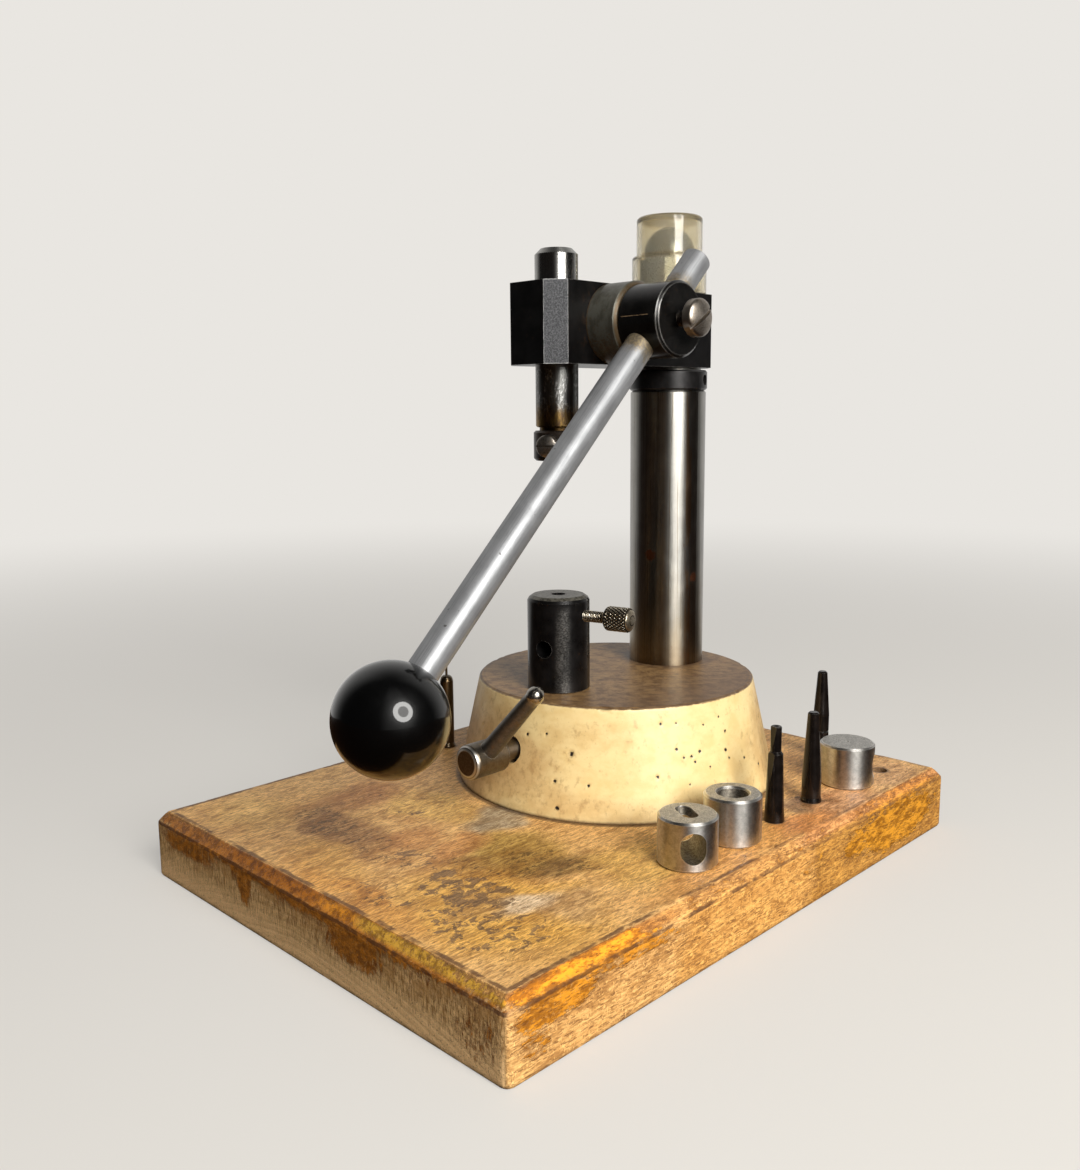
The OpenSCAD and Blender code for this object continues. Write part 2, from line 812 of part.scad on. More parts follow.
// Involute function of an angle, in degrees
function involute(angle) = tan(angle) * 180 / PI - angle;

// Half the angle that a pinion tooth covers at a radius
function tooth_half_angle(r) =
    (90 / pinion_teeth) - (backlash / 2 / pinion_r) * 180 / PI
    + involute(pressure_angle) - involute(acos(min(1, pinion_base_r / r)));

// One flank of a tooth, from root to tip, on one side of its centre line
function flank(centre, side) = [
    for (r = [pinion_root_r, each [for (i = [0:4]) pinion_base_r + (pinion_tip_r - pinion_base_r) * i / 4]])
        let (angle = centre + side * tooth_half_angle(max(r, pinion_base_r)))
            [r * cos(angle), r * sin(angle)]
];

// A list in reverse order
function reversed(list) = [for (i = [len(list) - 1:-1:0]) list[i]];

// Outline of the pinion, with a tooth pointing at the rack
module pinion_outline() {
    polygon([
        for (i = [0:pinion_teeth - 1]) let (centre = i * 360 / pinion_teeth - 90)
            each concat(flank(centre, -1), reversed(flank(centre, 1)))
    ]);
}

module pinion_shaft() {
    color("silver") difference() {
        union() {
            on_shaft(pinion_left_x) linear_extrude(pinion_w) pinion_outline();
            shaft_bar(head_left_x, pinion_left_x + overlap, left_journal_d);
            shaft_bar(pinion_right_x - overlap, shaft_end_x, journal_d);
        }
        shaft_bar(head_left_x - overlap, head_left_x + end_screw_len + overlap, end_screw_d);
        hub_pin_bar(neck_d + 2);
    }
}

// An upright bar on the cross pin's axis, through hub neck and shaft
module hub_pin_bar(len) {
    translate([hub_pin_x, shaft_y, shaft_z - len / 2]) cylinder(d = hub_pin_d, h = len);
}

module lever_hub() {
    color([0.1, 0.1, 0.1]) difference() {
        union() {
            on_shaft(hub_x) round_bar(hub_d, hub_len, hub_back_edge, hub_edge);
            shaft_bar(hub_x - neck_len, hub_x + 1, neck_d);
        }
        shaft_bar(hub_x - neck_len - 1, shaft_end_x, journal_d);
        hub_pin_bar(neck_d + 2);
        along_lever() cylinder(d = rod_d + 2 * running, h = 2 * hub_d, center = true);
        shaft_bar(rod_x, hub_end_x + 1, lock_d + 2 * running);
    }
}

module hub_pin() {
    color("silver") hub_pin_bar(neck_d - 1);
}

module end_washer() {
    color("silver") on_shaft(head_left_x - end_washer_t)
        ring(end_washer_d, end_screw_d + washer_play, end_washer_t);
}

module end_screw() {
    head_x = head_left_x - end_washer_t - end_screw_head_h;
    color("dimgray") difference() {
        union() {
            shaft_bar(head_x, head_x + end_screw_head_h, end_screw_head_d);
            shaft_bar(head_x + 1, head_left_x + end_screw_len, end_screw_d);
        }
        on_shaft(head_x - 1) translate([-end_slot_w / 2, -end_screw_head_d, 0])
            cube([end_slot_w, 2 * end_screw_head_d, end_slot_depth + 1]);
    }
}

module lever_lock_screw() {
    head_x = hub_end_x + lock_shank_out;
    slot_z = lock_head_t + lock_dome - lock_slot_depth;
    color("lightgray") difference() {
        union() {
            shaft_bar(lock_start_x, head_x + 1, lock_d);
            on_shaft(head_x) domed_bar(lock_head_d, lock_head_t, lock_dome);
        }
        on_shaft(head_x + slot_z) rotate([0, 0, lock_slot_angle])
            translate([-lock_slot_w / 2, -lock_head_d, 0])
                cube([lock_slot_w, 2 * lock_head_d, lock_slot_depth + 1]);
    }
}

module lever_rod() {
    shoulder = rod_reach - knob_flat;
    color("silver") along_lever() {
        translate([0, 0, -rod_tail]) round_bar(rod_d, rod_tail + shoulder, rod_edge, 0);
        translate([0, 0, shoulder - 1]) cylinder(d = knob_thread_d, h = knob_thread_len + 1);
    }
}

module ball_knob() {
    color("black") along_lever() translate([0, 0, rod_reach]) difference() {
        sphere(d = knob_d);
        translate([0, 0, -knob_flat - knob_d]) cylinder(d = 2 * knob_d, h = knob_d);
        translate([0, 0, -knob_flat - 1]) cylinder(d = insert_d, h = insert_len + 1);
    }
}

module knob_insert() {
    color("goldenrod") along_lever() translate([0, 0, rod_reach - knob_flat]) difference() {
        cylinder(d = insert_d, h = insert_len);
        translate([0, 0, -1]) cylinder(d = knob_thread_d, h = knob_thread_len + 2);
    }
}

module anvil_stem() {
    color("silver") translate([axis_x, ram_y, ped_top_z - stem_len]) {
        round_bar(stem_d, stem_len, stem_edge, 0);
        translate([0, 0, stem_len - 1]) cylinder(d = stem_boss_d, h = stem_boss_h + 1);
    }
}

module anvil_holder() {
    r = anvil_d / 2;
    color([0.15, 0.15, 0.16]) difference() {
        translate([axis_x, ram_y, ped_top_z]) rotate_extrude() polygon([
            [0, 0],
            [r - anvil_foot_edge, 0],
            [r, anvil_foot_edge],
            [r, anvil_h - anvil_edge],
            [r - anvil_edge_in, anvil_h - anvil_edge_down],
            [r - anvil_edge, anvil_h],
            [0, anvil_h]
        ]);
        translate([axis_x, ram_y, ped_top_z + anvil_h - anvil_bore_len])
            cylinder(d = socket_d, h = anvil_bore_len + 1);
        translate([axis_x, ram_y, ped_top_z - 1])
            cylinder(d = stem_boss_d + 2 * running, h = stem_boss_h + boss_room + 1);
        pointing_out(axis_x, ram_y, anvil_hole_z, anvil_hole_angle) cylinder(d = anvil_hole_d, h = anvil_d);
        pointing_out(axis_x, ram_y, ped_top_z + thumb_z, thumb_angle)
            cylinder(d = thumb_d + 2 * running, h = anvil_d);
    }
}

module thumb_screw() {
    start = socket_d / 2 + gap;
    knurl_end = thumb_head_start + thumb_knurl_len;
    color("silver") pointing_out(axis_x, ram_y, ped_top_z + thumb_z, thumb_angle) {
        translate([0, 0, start]) cylinder(d = thumb_d, h = thumb_neck - start + 1);
        translate([0, 0, thumb_neck])
            cylinder(d1 = thumb_d, d2 = thumb_cap_d, h = thumb_head_start - thumb_neck);
        translate([0, 0, thumb_head_start]) round_bar(thumb_head_d, thumb_knurl_len, thumb_edge, thumb_edge);
        translate([0, 0, knurl_end - thumb_cap_in]) domed_bar(thumb_cap_d, thumb_cap_in, thumb_dome);
    }
}

module clamp_pad() {
    color("goldenrod") on_clamp(clamp_pad_y + clamp_pad_len)
        cylinder(d = clamp_thread_d - 2 * gap, h = clamp_pad_len);
}

module clamp_spindle() {
    thread_y = clamp_face_y + clamp_mouth_depth;
    r = clamp_body_d / 2;
    color("gray") difference() {
        union() {
            on_clamp(clamp_pad_y) cylinder(d = clamp_thread_d, h = clamp_pad_y - thread_y);
            on_clamp(thread_y + 1) cylinder(d = clamp_shank_d, h = thread_y + 1 - clamp_body_y);
            on_clamp(clamp_body_y) rotate_extrude() polygon([
                [0, 0],
                [r - clamp_shoulder, 0],
                [r, clamp_shoulder],
                [r, clamp_body_len - clamp_edge],
                [r - clamp_edge_in, clamp_body_len - clamp_edge_down],
                [r - clamp_edge, clamp_body_len],
                [0, clamp_body_len]
            ]);
        }
        clamp_handle_line() cylinder(d = clamp_handle_d, h = clamp_body_d);
    }
}

// Places children on the clamp handle's line with their +Z towards the handle's tip
module clamp_handle_line() {
    translate([axis_x, clamp_handle_y, clamp_axis_z]) rotate([0, clamp_handle_angle, 0]) children();
}

module clamp_handle() {
    straight = clamp_body_d / 2 + 1;
    tip_r = clamp_tip_d / 2;
    color("gray") clamp_handle_line() {
        cylinder(d = clamp_handle_d, h = straight);
        translate([0, 0, straight])
            cylinder(d1 = clamp_handle_d, d2 = clamp_handle_neck_d, h = clamp_handle_len - tip_r - straight);
        translate([0, 0, clamp_handle_len - tip_r]) sphere(d = clamp_tip_d);
    }
}

// Blank of a die, standing on the board
module die_blank(place, d = die_d) {
    translate([place[0], place[1], board_t]) round_bar(d, die_h, die_edge, die_edge);
}

// A slot with round ends, its straight part along X
module slot_plan(straight, width) {
    square([straight, width], center = true);
    for (side = [-1, 1]) translate([side * straight / 2, 0]) circle(d = width);
}

// The upright oblong hole in a die's side, from a distance along its axis outwards
module side_hole(place, angle, start) {
    pointing_out(place[0], place[1], board_t + side_hole_up, angle) translate([0, 0, start])
        linear_extrude(small_die_d - start) slot_plan(side_hole_h - side_hole_w, side_hole_w);
}

module die_cross_hole() {
    color("lightgray") difference() {
        die_blank(cross_die_pos);
        side_hole(cross_die_pos, cross_die_angle, -die_d);
        translate([cross_die_pos[0], cross_die_pos[1], board_t + side_hole_up])
            rotate([0, 0, cross_die_angle + cross_slot_turn]) translate([-cross_slot_shift, 0])
                linear_extrude(die_h) slot_plan(2 * cross_slot_half, cross_slot_w);
    }
}

module die_open_bore() {
    c = open_bore_edge;
    r = open_bore_d / 2;
    color("lightgray") difference() {
        die_blank(open_die_pos);
        translate([open_die_pos[0], open_die_pos[1], board_t]) rotate_extrude() polygon([
            [0, -1], [r + c + 1, -1], [r, c], [r, die_h - c], [r + c + 1, die_h + 1], [0, die_h + 1]
        ]);
    }
}

module die_small_hole() {
    color("lightgray") difference() {
        die_blank(small_die_pos, small_die_d);
        translate([small_die_pos[0], small_die_pos[1], board_t + die_h / 2])
            cylinder(d = small_hole_d, h = die_h);
        side_hole(small_die_pos, small_cross_angle, 0);
    }
}

// A turned punch in its hole in the board: shank below, profile of [radius, height] above
module turned_punch(place, profile) {
    r = punch_shank_d / 2;
    e = punch_shank_edge;
    shank = [[0, -punch_shank_len], [r - e, -punch_shank_len], [r, e - punch_shank_len], [r, 0]];
    translate([place[0], place[1], board_t]) rotate_extrude() polygon(concat(shank, profile));
}

module punch_hollow() {
    flange_r = punch_flange_d / 2;
    body_r = flange_r - hollow_step;
    shoulder_r = body_r - hollow_taper;
    tip_r = hollow_tip_d / 2;
    color([0.1, 0.1, 0.1]) difference() {
        turned_punch(hollow_pos, [
            [flange_r, 0],
            [flange_r, punch_foot_h],
            [body_r, hollow_foot_h],
            [shoulder_r, hollow_shoulder_h - 1],
            [tip_r, hollow_shoulder_h],
            [tip_r, hollow_h - hollow_edge],
            [tip_r - hollow_edge, hollow_h],
            [0, hollow_h]
        ]);
        translate([hollow_pos[0], hollow_pos[1], board_t + hollow_h - hollow_hole_len])
            cylinder(d = hollow_hole_d, h = hollow_hole_len + 1);
        translate([hollow_pos[0], hollow_pos[1], board_t + hollow_h]) rotate([0, 0, hollow_flat_angle])
            translate([hollow_flat_top_r, 0, 0]) rotate([0, -hollow_flat_lean, 0])
                translate([0, -punch_flange_d, -hollow_h])
                    cube([punch_flange_d, 2 * punch_flange_d, 2 * hollow_h]);
    }
}

module punch_taper() {
    foot_r = taper_foot_d / 2;
    tip_r = taper_tip_d / 2;
    color([0.1, 0.1, 0.1]) turned_punch(taper_pos, [
        [foot_r, 0],
        [foot_r, punch_foot_h],
        [foot_r - taper_foot_step, taper_foot_end],
        [taper_body_d / 2, taper_body_h],
        [taper_middle_d / 2, taper_middle_h],
        [tip_r, taper_h - taper_edge],
        [tip_r - taper_edge, taper_h],
        [0, taper_h]
    ]);
}

module punch_long_taper() {
    r = long_taper_d / 2;
    tip_r = long_taper_tip_d / 2;
    color([0.1, 0.1, 0.1]) turned_punch(long_taper_pos, [
        [r, 0],
        [r, long_groove_h - long_groove],
        [r - long_groove, long_groove_h],
        [r, long_groove_h + long_groove],
        [r, long_taper_start],
        [tip_r, long_taper_h - long_taper_edge],
        [tip_r - long_taper_edge, long_taper_h],
        [0, long_taper_h]
    ]);
}

module punch_needle() {
    foot_r = needle_foot_d / 2;
    r = needle_body_d / 2;
    tip_r = needle_tip_d / 2;
    color([0.1, 0.1, 0.1]) turned_punch(needle_pos, [
        [foot_r, 0],
        [foot_r, punch_foot_h],
        [r, needle_foot_end],
        [r, needle_body_h - needle_shoulder_start],
        [r - needle_shoulder_in, needle_body_h - needle_shoulder_middle],
        [r - needle_shoulder_end, needle_body_h],
        [tip_r, needle_body_h],
        [tip_r, needle_h - needle_tip_len],
        [tip_r / 2, needle_h],
        [0, needle_h]
    ]);
}

base_board();
pedestal();
pedestal_screws();
pedestal_washers();
column();
column_bolt();
column_washer();
support_collar();
collar_set_screw();
thrust_washer();
top_washer();
dome_nut();
column_cap();
head_block();
bearing_sleeve();
left_bush();
drag_plug();
drag_screw();
ram();
punch_collar();
punch_clamp_screw();
pinion_shaft();
lever_hub();
hub_pin();
end_washer();
end_screw();
lever_lock_screw();
lever_rod();
ball_knob();
knob_insert();
anvil_stem();
anvil_holder();
thumb_screw();
clamp_pad();
clamp_spindle();
clamp_handle();
die_cross_hole();
die_open_bore();
die_small_hole();
punch_hollow();
punch_taper();
punch_long_taper();
punch_needle();
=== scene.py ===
"""Looks of the bench rivet press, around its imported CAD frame. Lengths are in millimetres
until they reach a mesh, a lamp or the camera, which are in metres."""

import math

import bpy
import numpy as np
from mathutils import Matrix, Vector


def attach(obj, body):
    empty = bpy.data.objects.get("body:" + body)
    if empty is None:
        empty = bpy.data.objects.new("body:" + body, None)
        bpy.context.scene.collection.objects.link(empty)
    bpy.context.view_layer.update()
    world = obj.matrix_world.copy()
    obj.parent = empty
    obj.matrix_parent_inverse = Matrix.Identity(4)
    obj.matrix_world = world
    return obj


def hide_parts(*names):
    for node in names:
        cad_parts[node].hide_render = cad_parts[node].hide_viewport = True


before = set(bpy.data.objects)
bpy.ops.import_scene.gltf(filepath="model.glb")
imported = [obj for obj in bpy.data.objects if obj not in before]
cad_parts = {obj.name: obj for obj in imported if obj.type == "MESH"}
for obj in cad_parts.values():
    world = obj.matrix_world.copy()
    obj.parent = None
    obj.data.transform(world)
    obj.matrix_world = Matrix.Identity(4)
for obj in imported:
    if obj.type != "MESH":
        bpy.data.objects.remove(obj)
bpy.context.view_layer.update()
scene = bpy.context.scene

MM = 0.001
SEED = 7
ACROSS, BACK, UP = (1, 0, 0), (0, 1, 0), (0, 0, 1)


# Shapes


def placed(x, y, z, rx=0, ry=0, rz=0):
    """A local frame: turned about X, then Y, then Z, in degrees, and moved to a point."""
    turn = Matrix.Identity(4)
    for angle, axis in ((rx, "X"), (ry, "Y"), (rz, "Z")):
        turn = Matrix.Rotation(math.radians(angle), 4, axis) @ turn
    return Matrix.Translation((x, y, z)) @ turn


def piece(name, points, faces, place=None, sharp=35):
    """A mesh object from points in mm, with its faces smooth up to an angle in degrees."""
    points = np.asarray(points, float)
    if place is not None:
        m = np.array(place)
        points = points @ m[:3, :3].T + m[:3, 3]
    mesh = bpy.data.meshes.new(name)
    mesh.from_pydata((points * MM).tolist(), [], faces)
    mesh.update()
    obj = bpy.data.objects.new(name, mesh)
    scene.collection.objects.link(obj)
    smooth(obj, sharp)
    return obj


def smooth(obj, sharp=35):
    """Smooth faces, with edges sharp from an angle in degrees."""
    obj.data.polygons.foreach_set("use_smooth", [True] * len(obj.data.polygons))
    obj.data.set_sharp_from_angle(angle=math.radians(sharp))


def rounded(points, radius, steps=4):
    """A profile whose corners, all but the two ends, are softened by a radius."""
    points = [Vector(p) for p in points]
    out = [tuple(points[0])]
    for before, at, after in zip(points, points[1:], points[2:]):
        reach = min(radius, (before - at).length * 0.45, (after - at).length * 0.45)
        a = at + (before - at).normalized() * reach
        b = at + (after - at).normalized() * reach
        for i in range(steps + 1):
            t = i / steps
            out.append(tuple(a * (1 - t) ** 2 + at * 2 * t * (1 - t) + b * t * t))
    return out + [tuple(points[-1])]


def stepped(points, length):
    """A profile with points added so that no part of it is longer than a length."""
    out = [tuple(points[0])]
    for a, b in zip(points, points[1:]):
        a, b = Vector(a), Vector(b)
        n = max(1, math.ceil((b - a).length / length))
        out += [tuple(a.lerp(b, i / n)) for i in range(1, n + 1)]
    return out


def turned(name, profile, place, segments=96, sharp=35, shape=None):
    """A profile of (radius, height) turned about the local Z axis. shape(radius, angle, height)
    gives a changed radius."""
    points, rings = [], []
    turn = np.linspace(0, 2 * math.pi, segments, endpoint=False)
    for r, h in profile:
        if r < 1e-6:
            rings.append([len(points)])
            points.append((0, 0, h))
            continue
        radius = np.full(segments, float(r))
        if shape is not None:
            radius = shape(radius, turn, np.full(segments, float(h)))
        rings.append(list(range(len(points), len(points) + segments)))
        ring = [radius * np.cos(turn), radius * np.sin(turn), np.full(segments, h)]
        points += np.stack(ring, 1).tolist()
    faces = []
    for low, high in zip(rings, rings[1:]):
        if len(low) == len(high) == 1:
            continue
        for i in range(segments):
            k = (i + 1) % segments
            if len(low) == 1:
                faces.append((low[0], high[k], high[i]))
            elif len(high) == 1:
                faces.append((low[i], low[k], high[0]))
            else:
                faces.append((low[i], low[k], high[k], high[i]))
    return piece(name, points, faces, place, sharp)


def block(name, lo, hi, place):
    """A closed box between two corners, used as a cutter."""
    corners = [(x, y, z) for x in (lo[0], hi[0]) for y in (lo[1], hi[1]) for z in (lo[2], hi[2])]
    faces = [(0, 1, 3, 2), (4, 6, 7, 5), (0, 4, 5, 1), (2, 3, 7, 6), (0, 2, 6, 4), (1, 5, 7, 3)]
    return piece(name, corners, faces, place)


def rod(name, radius, length, place, segments=64):
    """A closed round bar from the local origin along Z, used as a cutter."""
    return turned(name, [(0, 0), (radius, 0), (radius, length), (0, length)], place, segments)


def cut(obj, cutters):
    """Takes the cutters out of a piece, and removes them."""
    for cutter in cutters:
        hole = obj.modifiers.new("cut", "BOOLEAN")
        hole.operation = "DIFFERENCE"
        hole.solver = "EXACT"
        hole.object = cutter
    seen = bpy.context.evaluated_depsgraph_get()
    mesh = bpy.data.meshes.new_from_object(obj.evaluated_get(seen))
    obj.modifiers.clear()
    obj.data = mesh
    for cutter in cutters:
        bpy.data.objects.remove(cutter)


def coords(obj):
    """The places of a mesh's vertices, in mm."""
    co = np.zeros(len(obj.data.vertices) * 3, np.float32)
    obj.data.vertices.foreach_get("co", co)
    return co.reshape(-1, 3).astype(float) / MM


def set_coords(obj, points):
    obj.data.vertices.foreach_set("co", (points * MM).astype(np.float32).ravel())
    obj.data.update()


def attribute(obj, name, values):
    """A number or a colour for each vertex, which a material reads by its name."""
    if values.ndim == 1:
        layer = obj.data.attributes.new(name, "FLOAT", "POINT")
        layer.data.foreach_set("value", values.astype(np.float32))
    else:
        layer = obj.data.attributes.new(name, "FLOAT_COLOR", "POINT")
        full = np.concatenate([values, np.ones((len(values), 1))], 1)
        layer.data.foreach_set("color", full.astype(np.float32).ravel())


LATTICE = np.random.default_rng(SEED).random((32, 32, 32))


def wander(points, size, shift=0.0):
    """Smooth random numbers from 0 to 1, changing over a size in mm."""
    p = points / size + shift
    i = np.floor(p).astype(int)
    f = p - i
    f = f * f * (3 - 2 * f)
    total = np.zeros(len(p))
    for dx in (0, 1):
        for dy in (0, 1):
            for dz in (0, 1):
                w = (f[:, 0] if dx else 1 - f[:, 0]) * (f[:, 1] if dy else 1 - f[:, 1])
                w = w * (f[:, 2] if dz else 1 - f[:, 2])
                total += w * LATTICE[(i[:, 0] + dx) % 32, (i[:, 1] + dy) % 32, (i[:, 2] + dz) % 32]
    return total


def wander2(points, size, shift=0.0):
    """The same with two finer sizes added."""
    total = wander(points, size, shift) * 2 + wander(points, size / 2.1, shift + 5)
    return (total + wander(points, size / 4.3, shift + 9) * 0.6) / 3.6


def ease(values, low, high):
    """0 below low and 1 above high, with a smooth change between."""
    t = np.clip((values - low) / (high - low), 0, 1)
    return t * t * (3 - 2 * t)


def rgb(*colour):
    """A colour written as screen values from 0 to 255, as linear numbers."""
    def linear(v):
        v = v / 255
        return v / 12.92 if v <= 0.04045 else ((v + 0.055) / 1.055) ** 2.4
    return tuple(linear(v) for v in colour)


def shade(colour, by, more=0):
    """A screen colour times a number, plus another."""
    return tuple(c * by + more for c in colour)


# Materials


class Nodes:
    """A node tree that is filled by methods, which add nodes and give sockets."""

    def __init__(self, owner):
        owner.use_nodes = True
        self.tree = owner.node_tree
        self.tree.nodes.clear()

    def node(self, kind, inputs=None, **settings):
        node = self.tree.nodes.new("ShaderNode" + kind)
        for key, value in settings.items():
            setattr(node, key, value)
        for key, value in (inputs or {}).items():
            self.put(node.inputs[key], value)
        return node

    def put(self, socket, value):
        if isinstance(value, bpy.types.NodeSocket):
            self.tree.links.new(value, socket)
        elif isinstance(value, tuple) and len(value) == 3 and socket.type == "RGBA":
            socket.default_value = (*value, 1)
        else:
            socket.default_value = value

    def calc(self, what, a, b=0.0, c=0.0, clamp=False):
        return self.node("Math", {0: a, 1: b, 2: c}, operation=what, use_clamp=clamp).outputs[0]

    def chain(self, what, values):
        total = values[0]
        for value in values[1:]:
            total = self.calc(what, total, value)
        return total

    def mul(self, *values):
        return self.chain("MULTIPLY", values)

    def add(self, *values):
        return self.chain("ADD", values)

    def sub(self, a, b):
        return self.calc("SUBTRACT", a, b)

    def absolute(self, value):
        return self.calc("ABSOLUTE", value)

    def most(self, *values):
        return self.chain("MAXIMUM", values)

    def step(self, value, low, high, to_low=0.0, to_high=1.0):
        """A smooth change from to_low to to_high while the value goes from low to high."""
        inputs = {0: value, 1: low, 2: high, 3: to_low, 4: to_high}
        return self.node("MapRange", inputs, interpolation_type="SMOOTHSTEP").outputs[0]

    def band(self, value, low, high, soft):
        """1 between low and high, 0 outside, over a soft border."""
        rise = self.step(value, low - soft, low)
        return self.mul(rise, self.step(value, high, high + soft, 1.0, 0.0))

    def mix(self, mask, a, b, how="MIX"):
        """The colour a where the mask is 0, and b where it is 1."""
        node = self.node("Mix", data_type="RGBA", blend_type=how)
        self.put(node.inputs[0], mask)
        self.put(node.inputs[6], a)
        self.put(node.inputs[7], b)
        return node.outputs[2]

    def between(self, mask, a, b):
        """The number a where the mask is 0, and b where it is 1."""
        return self.node("Mix", {0: mask, 2: a, 3: b}, data_type="FLOAT").outputs[0]

    def tint(self, colour, r, g, b):
        """A colour multiplied by a number for each of its channels."""
        return self.mix(1.0, colour, (r, g, b), "MULTIPLY")

    def over(self, base, colour, mask, amount=None):
        """A colour laid over another where a mask is, by an amount. A tuple is read by rgb()."""
        if isinstance(colour, tuple):
            colour = rgb(*colour)
        if amount is not None:
            mask = self.mul(mask, amount)
        return self.mix(mask, base, colour)


class Finish(Nodes):
    """A procedural material in object coordinates."""

    def __init__(self, name, **constants):
        self.material = bpy.data.materials.new(name)
        super().__init__(self.material)
        self.shader = self.node("BsdfPrincipled")
        output = self.node("OutputMaterial")
        self.tree.links.new(self.shader.outputs[0], output.inputs[0])
        for socket, value in constants.items():
            self.shader.inputs[socket.replace("_", " ")].default_value = value
        place = self.node("TexCoord")
        self.normal = place.outputs["Normal"]
        self.mm = self.vector("SCALE", place.outputs["Object"], Scale=1 / MM).outputs[0]
        self.x, self.y, self.z = self.node("SeparateXYZ", {0: self.mm}).outputs

    def vector(self, what, a, b=None, **more):
        inputs = {0: a, **more} if b is None else {0: a, 1: b, **more}
        return self.node("VectorMath", inputs, operation=what)

    def noise(self, size, detail=3.0, rough=0.55, shift=0.0, warp=0.0, turn=0.0):
        """Noise from 0 to 1 whose features have a size in mm, one number or one for each axis,
        turned about Z by an angle in degrees."""
        sizes = size if isinstance(size, tuple) else (size, size, size)
        away = tuple(shift * k * n for k, n in zip((9.1, 14.7, 5.3), sizes))
        inputs = {0: self.mm, 1: away, 2: (0, 0, math.radians(turn)), 3: sizes}
        spot = self.node("Mapping", inputs, vector_type="TEXTURE").outputs[0]
        looks = {"Detail": detail, "Roughness": rough, "Distortion": warp}
        return self.node("TexNoise", {"Vector": spot, "Scale": 1.0, **looks}).outputs["Fac"]

    def patchy(self, step, *noise, **more):
        """Noise cut into patches: step goes to step(), the rest to noise()."""
        return self.step(self.noise(*noise, **more), *step)

    def tones(self, a, b, step, *noise, **more):
        """Two colours, written as for rgb(), in the patches of noise."""
        return self.mix(self.patchy(step, *noise, **more), rgb(*a), rgb(*b))

    def swing(self, amount, *noise, **more):
        """Noise about zero, of an amount."""
        return self.mul(self.sub(self.noise(*noise, **more), 0.5), amount)

    def ragged(self, value, amount, *noise, **more):
        """A value with noise of an amount added, so that its steps get a ragged border."""
        return self.add(value, self.mul(self.noise(*noise, **more), amount))

    def attr(self, name, colour=False):
        """What attribute() wrote on the vertices."""
        node = self.node("Attribute", attribute_name=name)
        return node.outputs["Color" if colour else "Fac"]

    def along(self, direction):
        """How far the surface faces a direction of the object, from -1 to 1."""
        return self.vector("DOT_PRODUCT", self.normal, direction).outputs["Value"]

    def distance(self, point, axis=None):
        """Distance in mm to a point, or to the line through it along an axis."""
        away = self.vector("SUBTRACT", self.mm, point).outputs[0]
        if axis is not None:
            away = self.vector("CROSS_PRODUCT", away, axis).outputs[0]
        return self.vector("LENGTH", away).outputs["Value"]

    def edges(self, radius=0.35, low=0.02, high=0.2):
        """1 on the sharp edges of the mesh, 0 on its faces."""
        bevel = self.node("Bevel", {"Radius": radius * MM}, samples=4).outputs[0]
        flat = self.node("NewGeometry").outputs["Normal"]
        facing = self.vector("DOT_PRODUCT", bevel, flat).outputs["Value"]
        return self.step(self.sub(1.0, facing), low, high)

    def grain_axis(self, direction):
        """Makes the gloss stretch along a direction of the object, as on a turned bar."""
        spaces = {"convert_from": "OBJECT", "convert_to": "WORLD"}
        move = self.node("VectorTransform", {0: direction}, vector_type="VECTOR", **spaces)
        self.put(self.shader.inputs["Tangent"], move.outputs[0])

    def bump(self, height, depth):
        """Relief of a depth in mm where the height goes from 0 to 1."""
        inputs = {"Strength": 1.0, "Distance": depth * MM, "Height": height}
        return self.node("Bump", inputs).outputs[0]

    def set(self, **sockets):
        """Fills sockets of the shader and gives the finished material."""
        for socket, value in sockets.items():
            self.put(self.shader.inputs[socket.replace("_", " ")], value)
        return self.material


def wear(material, *names):
    """Puts a material on CAD nodes, by name, or on pieces."""
    for name in names:
        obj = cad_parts[name] if isinstance(name, str) else name
        obj.data.materials.clear()
        obj.data.materials.append(material)


# Main places, in mm

AXIS_X, RAM_Y, COLUMN_Y, PED_Y = -4.0, -1.5, 73.5, 36.0
BOARD_T, PED_H, PED_FOOT_R, PED_TOP_R = 28.0, 46.0, 72.5, 62.5
PED_TOP = BOARD_T + PED_H
SHAFT_Y, SHAFT_Z, HUB_END = 15.0, 228.5, 48.0
ROD_X, KNOB_REACH, KNOB_R = 35.5, 193.5, 20.0
LEVER = placed(ROD_X, SHAFT_Y, SHAFT_Z, rx=134.5)
ALONG_ROD = (0, -0.71325, -0.70091)
CLAMP_Z, HANDLE_Y, HANDLE_LENGTH, ALONG_HANDLE = 52.2, -47.2, 48.5, (0.6947, 0, 0.7193)
HEAD_Z, CAP_Z = 212.0, 245.3
PUNCH_SCREW_Z, PUNCH_SCREW_TURN, THUMB_Z, THUMB_TURN = 178.75, -68, 106.6, 13


# Board

HALF_W, HALF_D, CHAMFER, CORNER, BOARD_GRID = 107.5, 140.0, 4.0, 3.0, 1.5
# Rings down the board's faces, each with its step inwards at the worn bottom edge
BOARD_RINGS = [(z, 0) for z in (22.5, 20, 17, 14, 11, 8, 5, 2.4, 1.1)] + [(0.35, 0.35), (0, 1.1)]
PUNCH_HOLES = [(86.5, 30), (85.5, 60), (57, 116), (-85.5, 3), (88, 116)]
PUNCH_HOLE_R, PUNCH_HOLE_DEPTH, FOOT_CIRCLE_R = 3.25, 18, 54


def on_circle(radius, degrees):
    """The point at a radius and an angle from +X, round the pedestal's axis."""
    a = math.radians(degrees)
    return AXIS_X + radius * math.cos(a), PED_Y + radius * math.sin(a)


FOOT_SCREWS = [on_circle(FOOT_CIRCLE_R, a) for a in (30, 150, 270)]


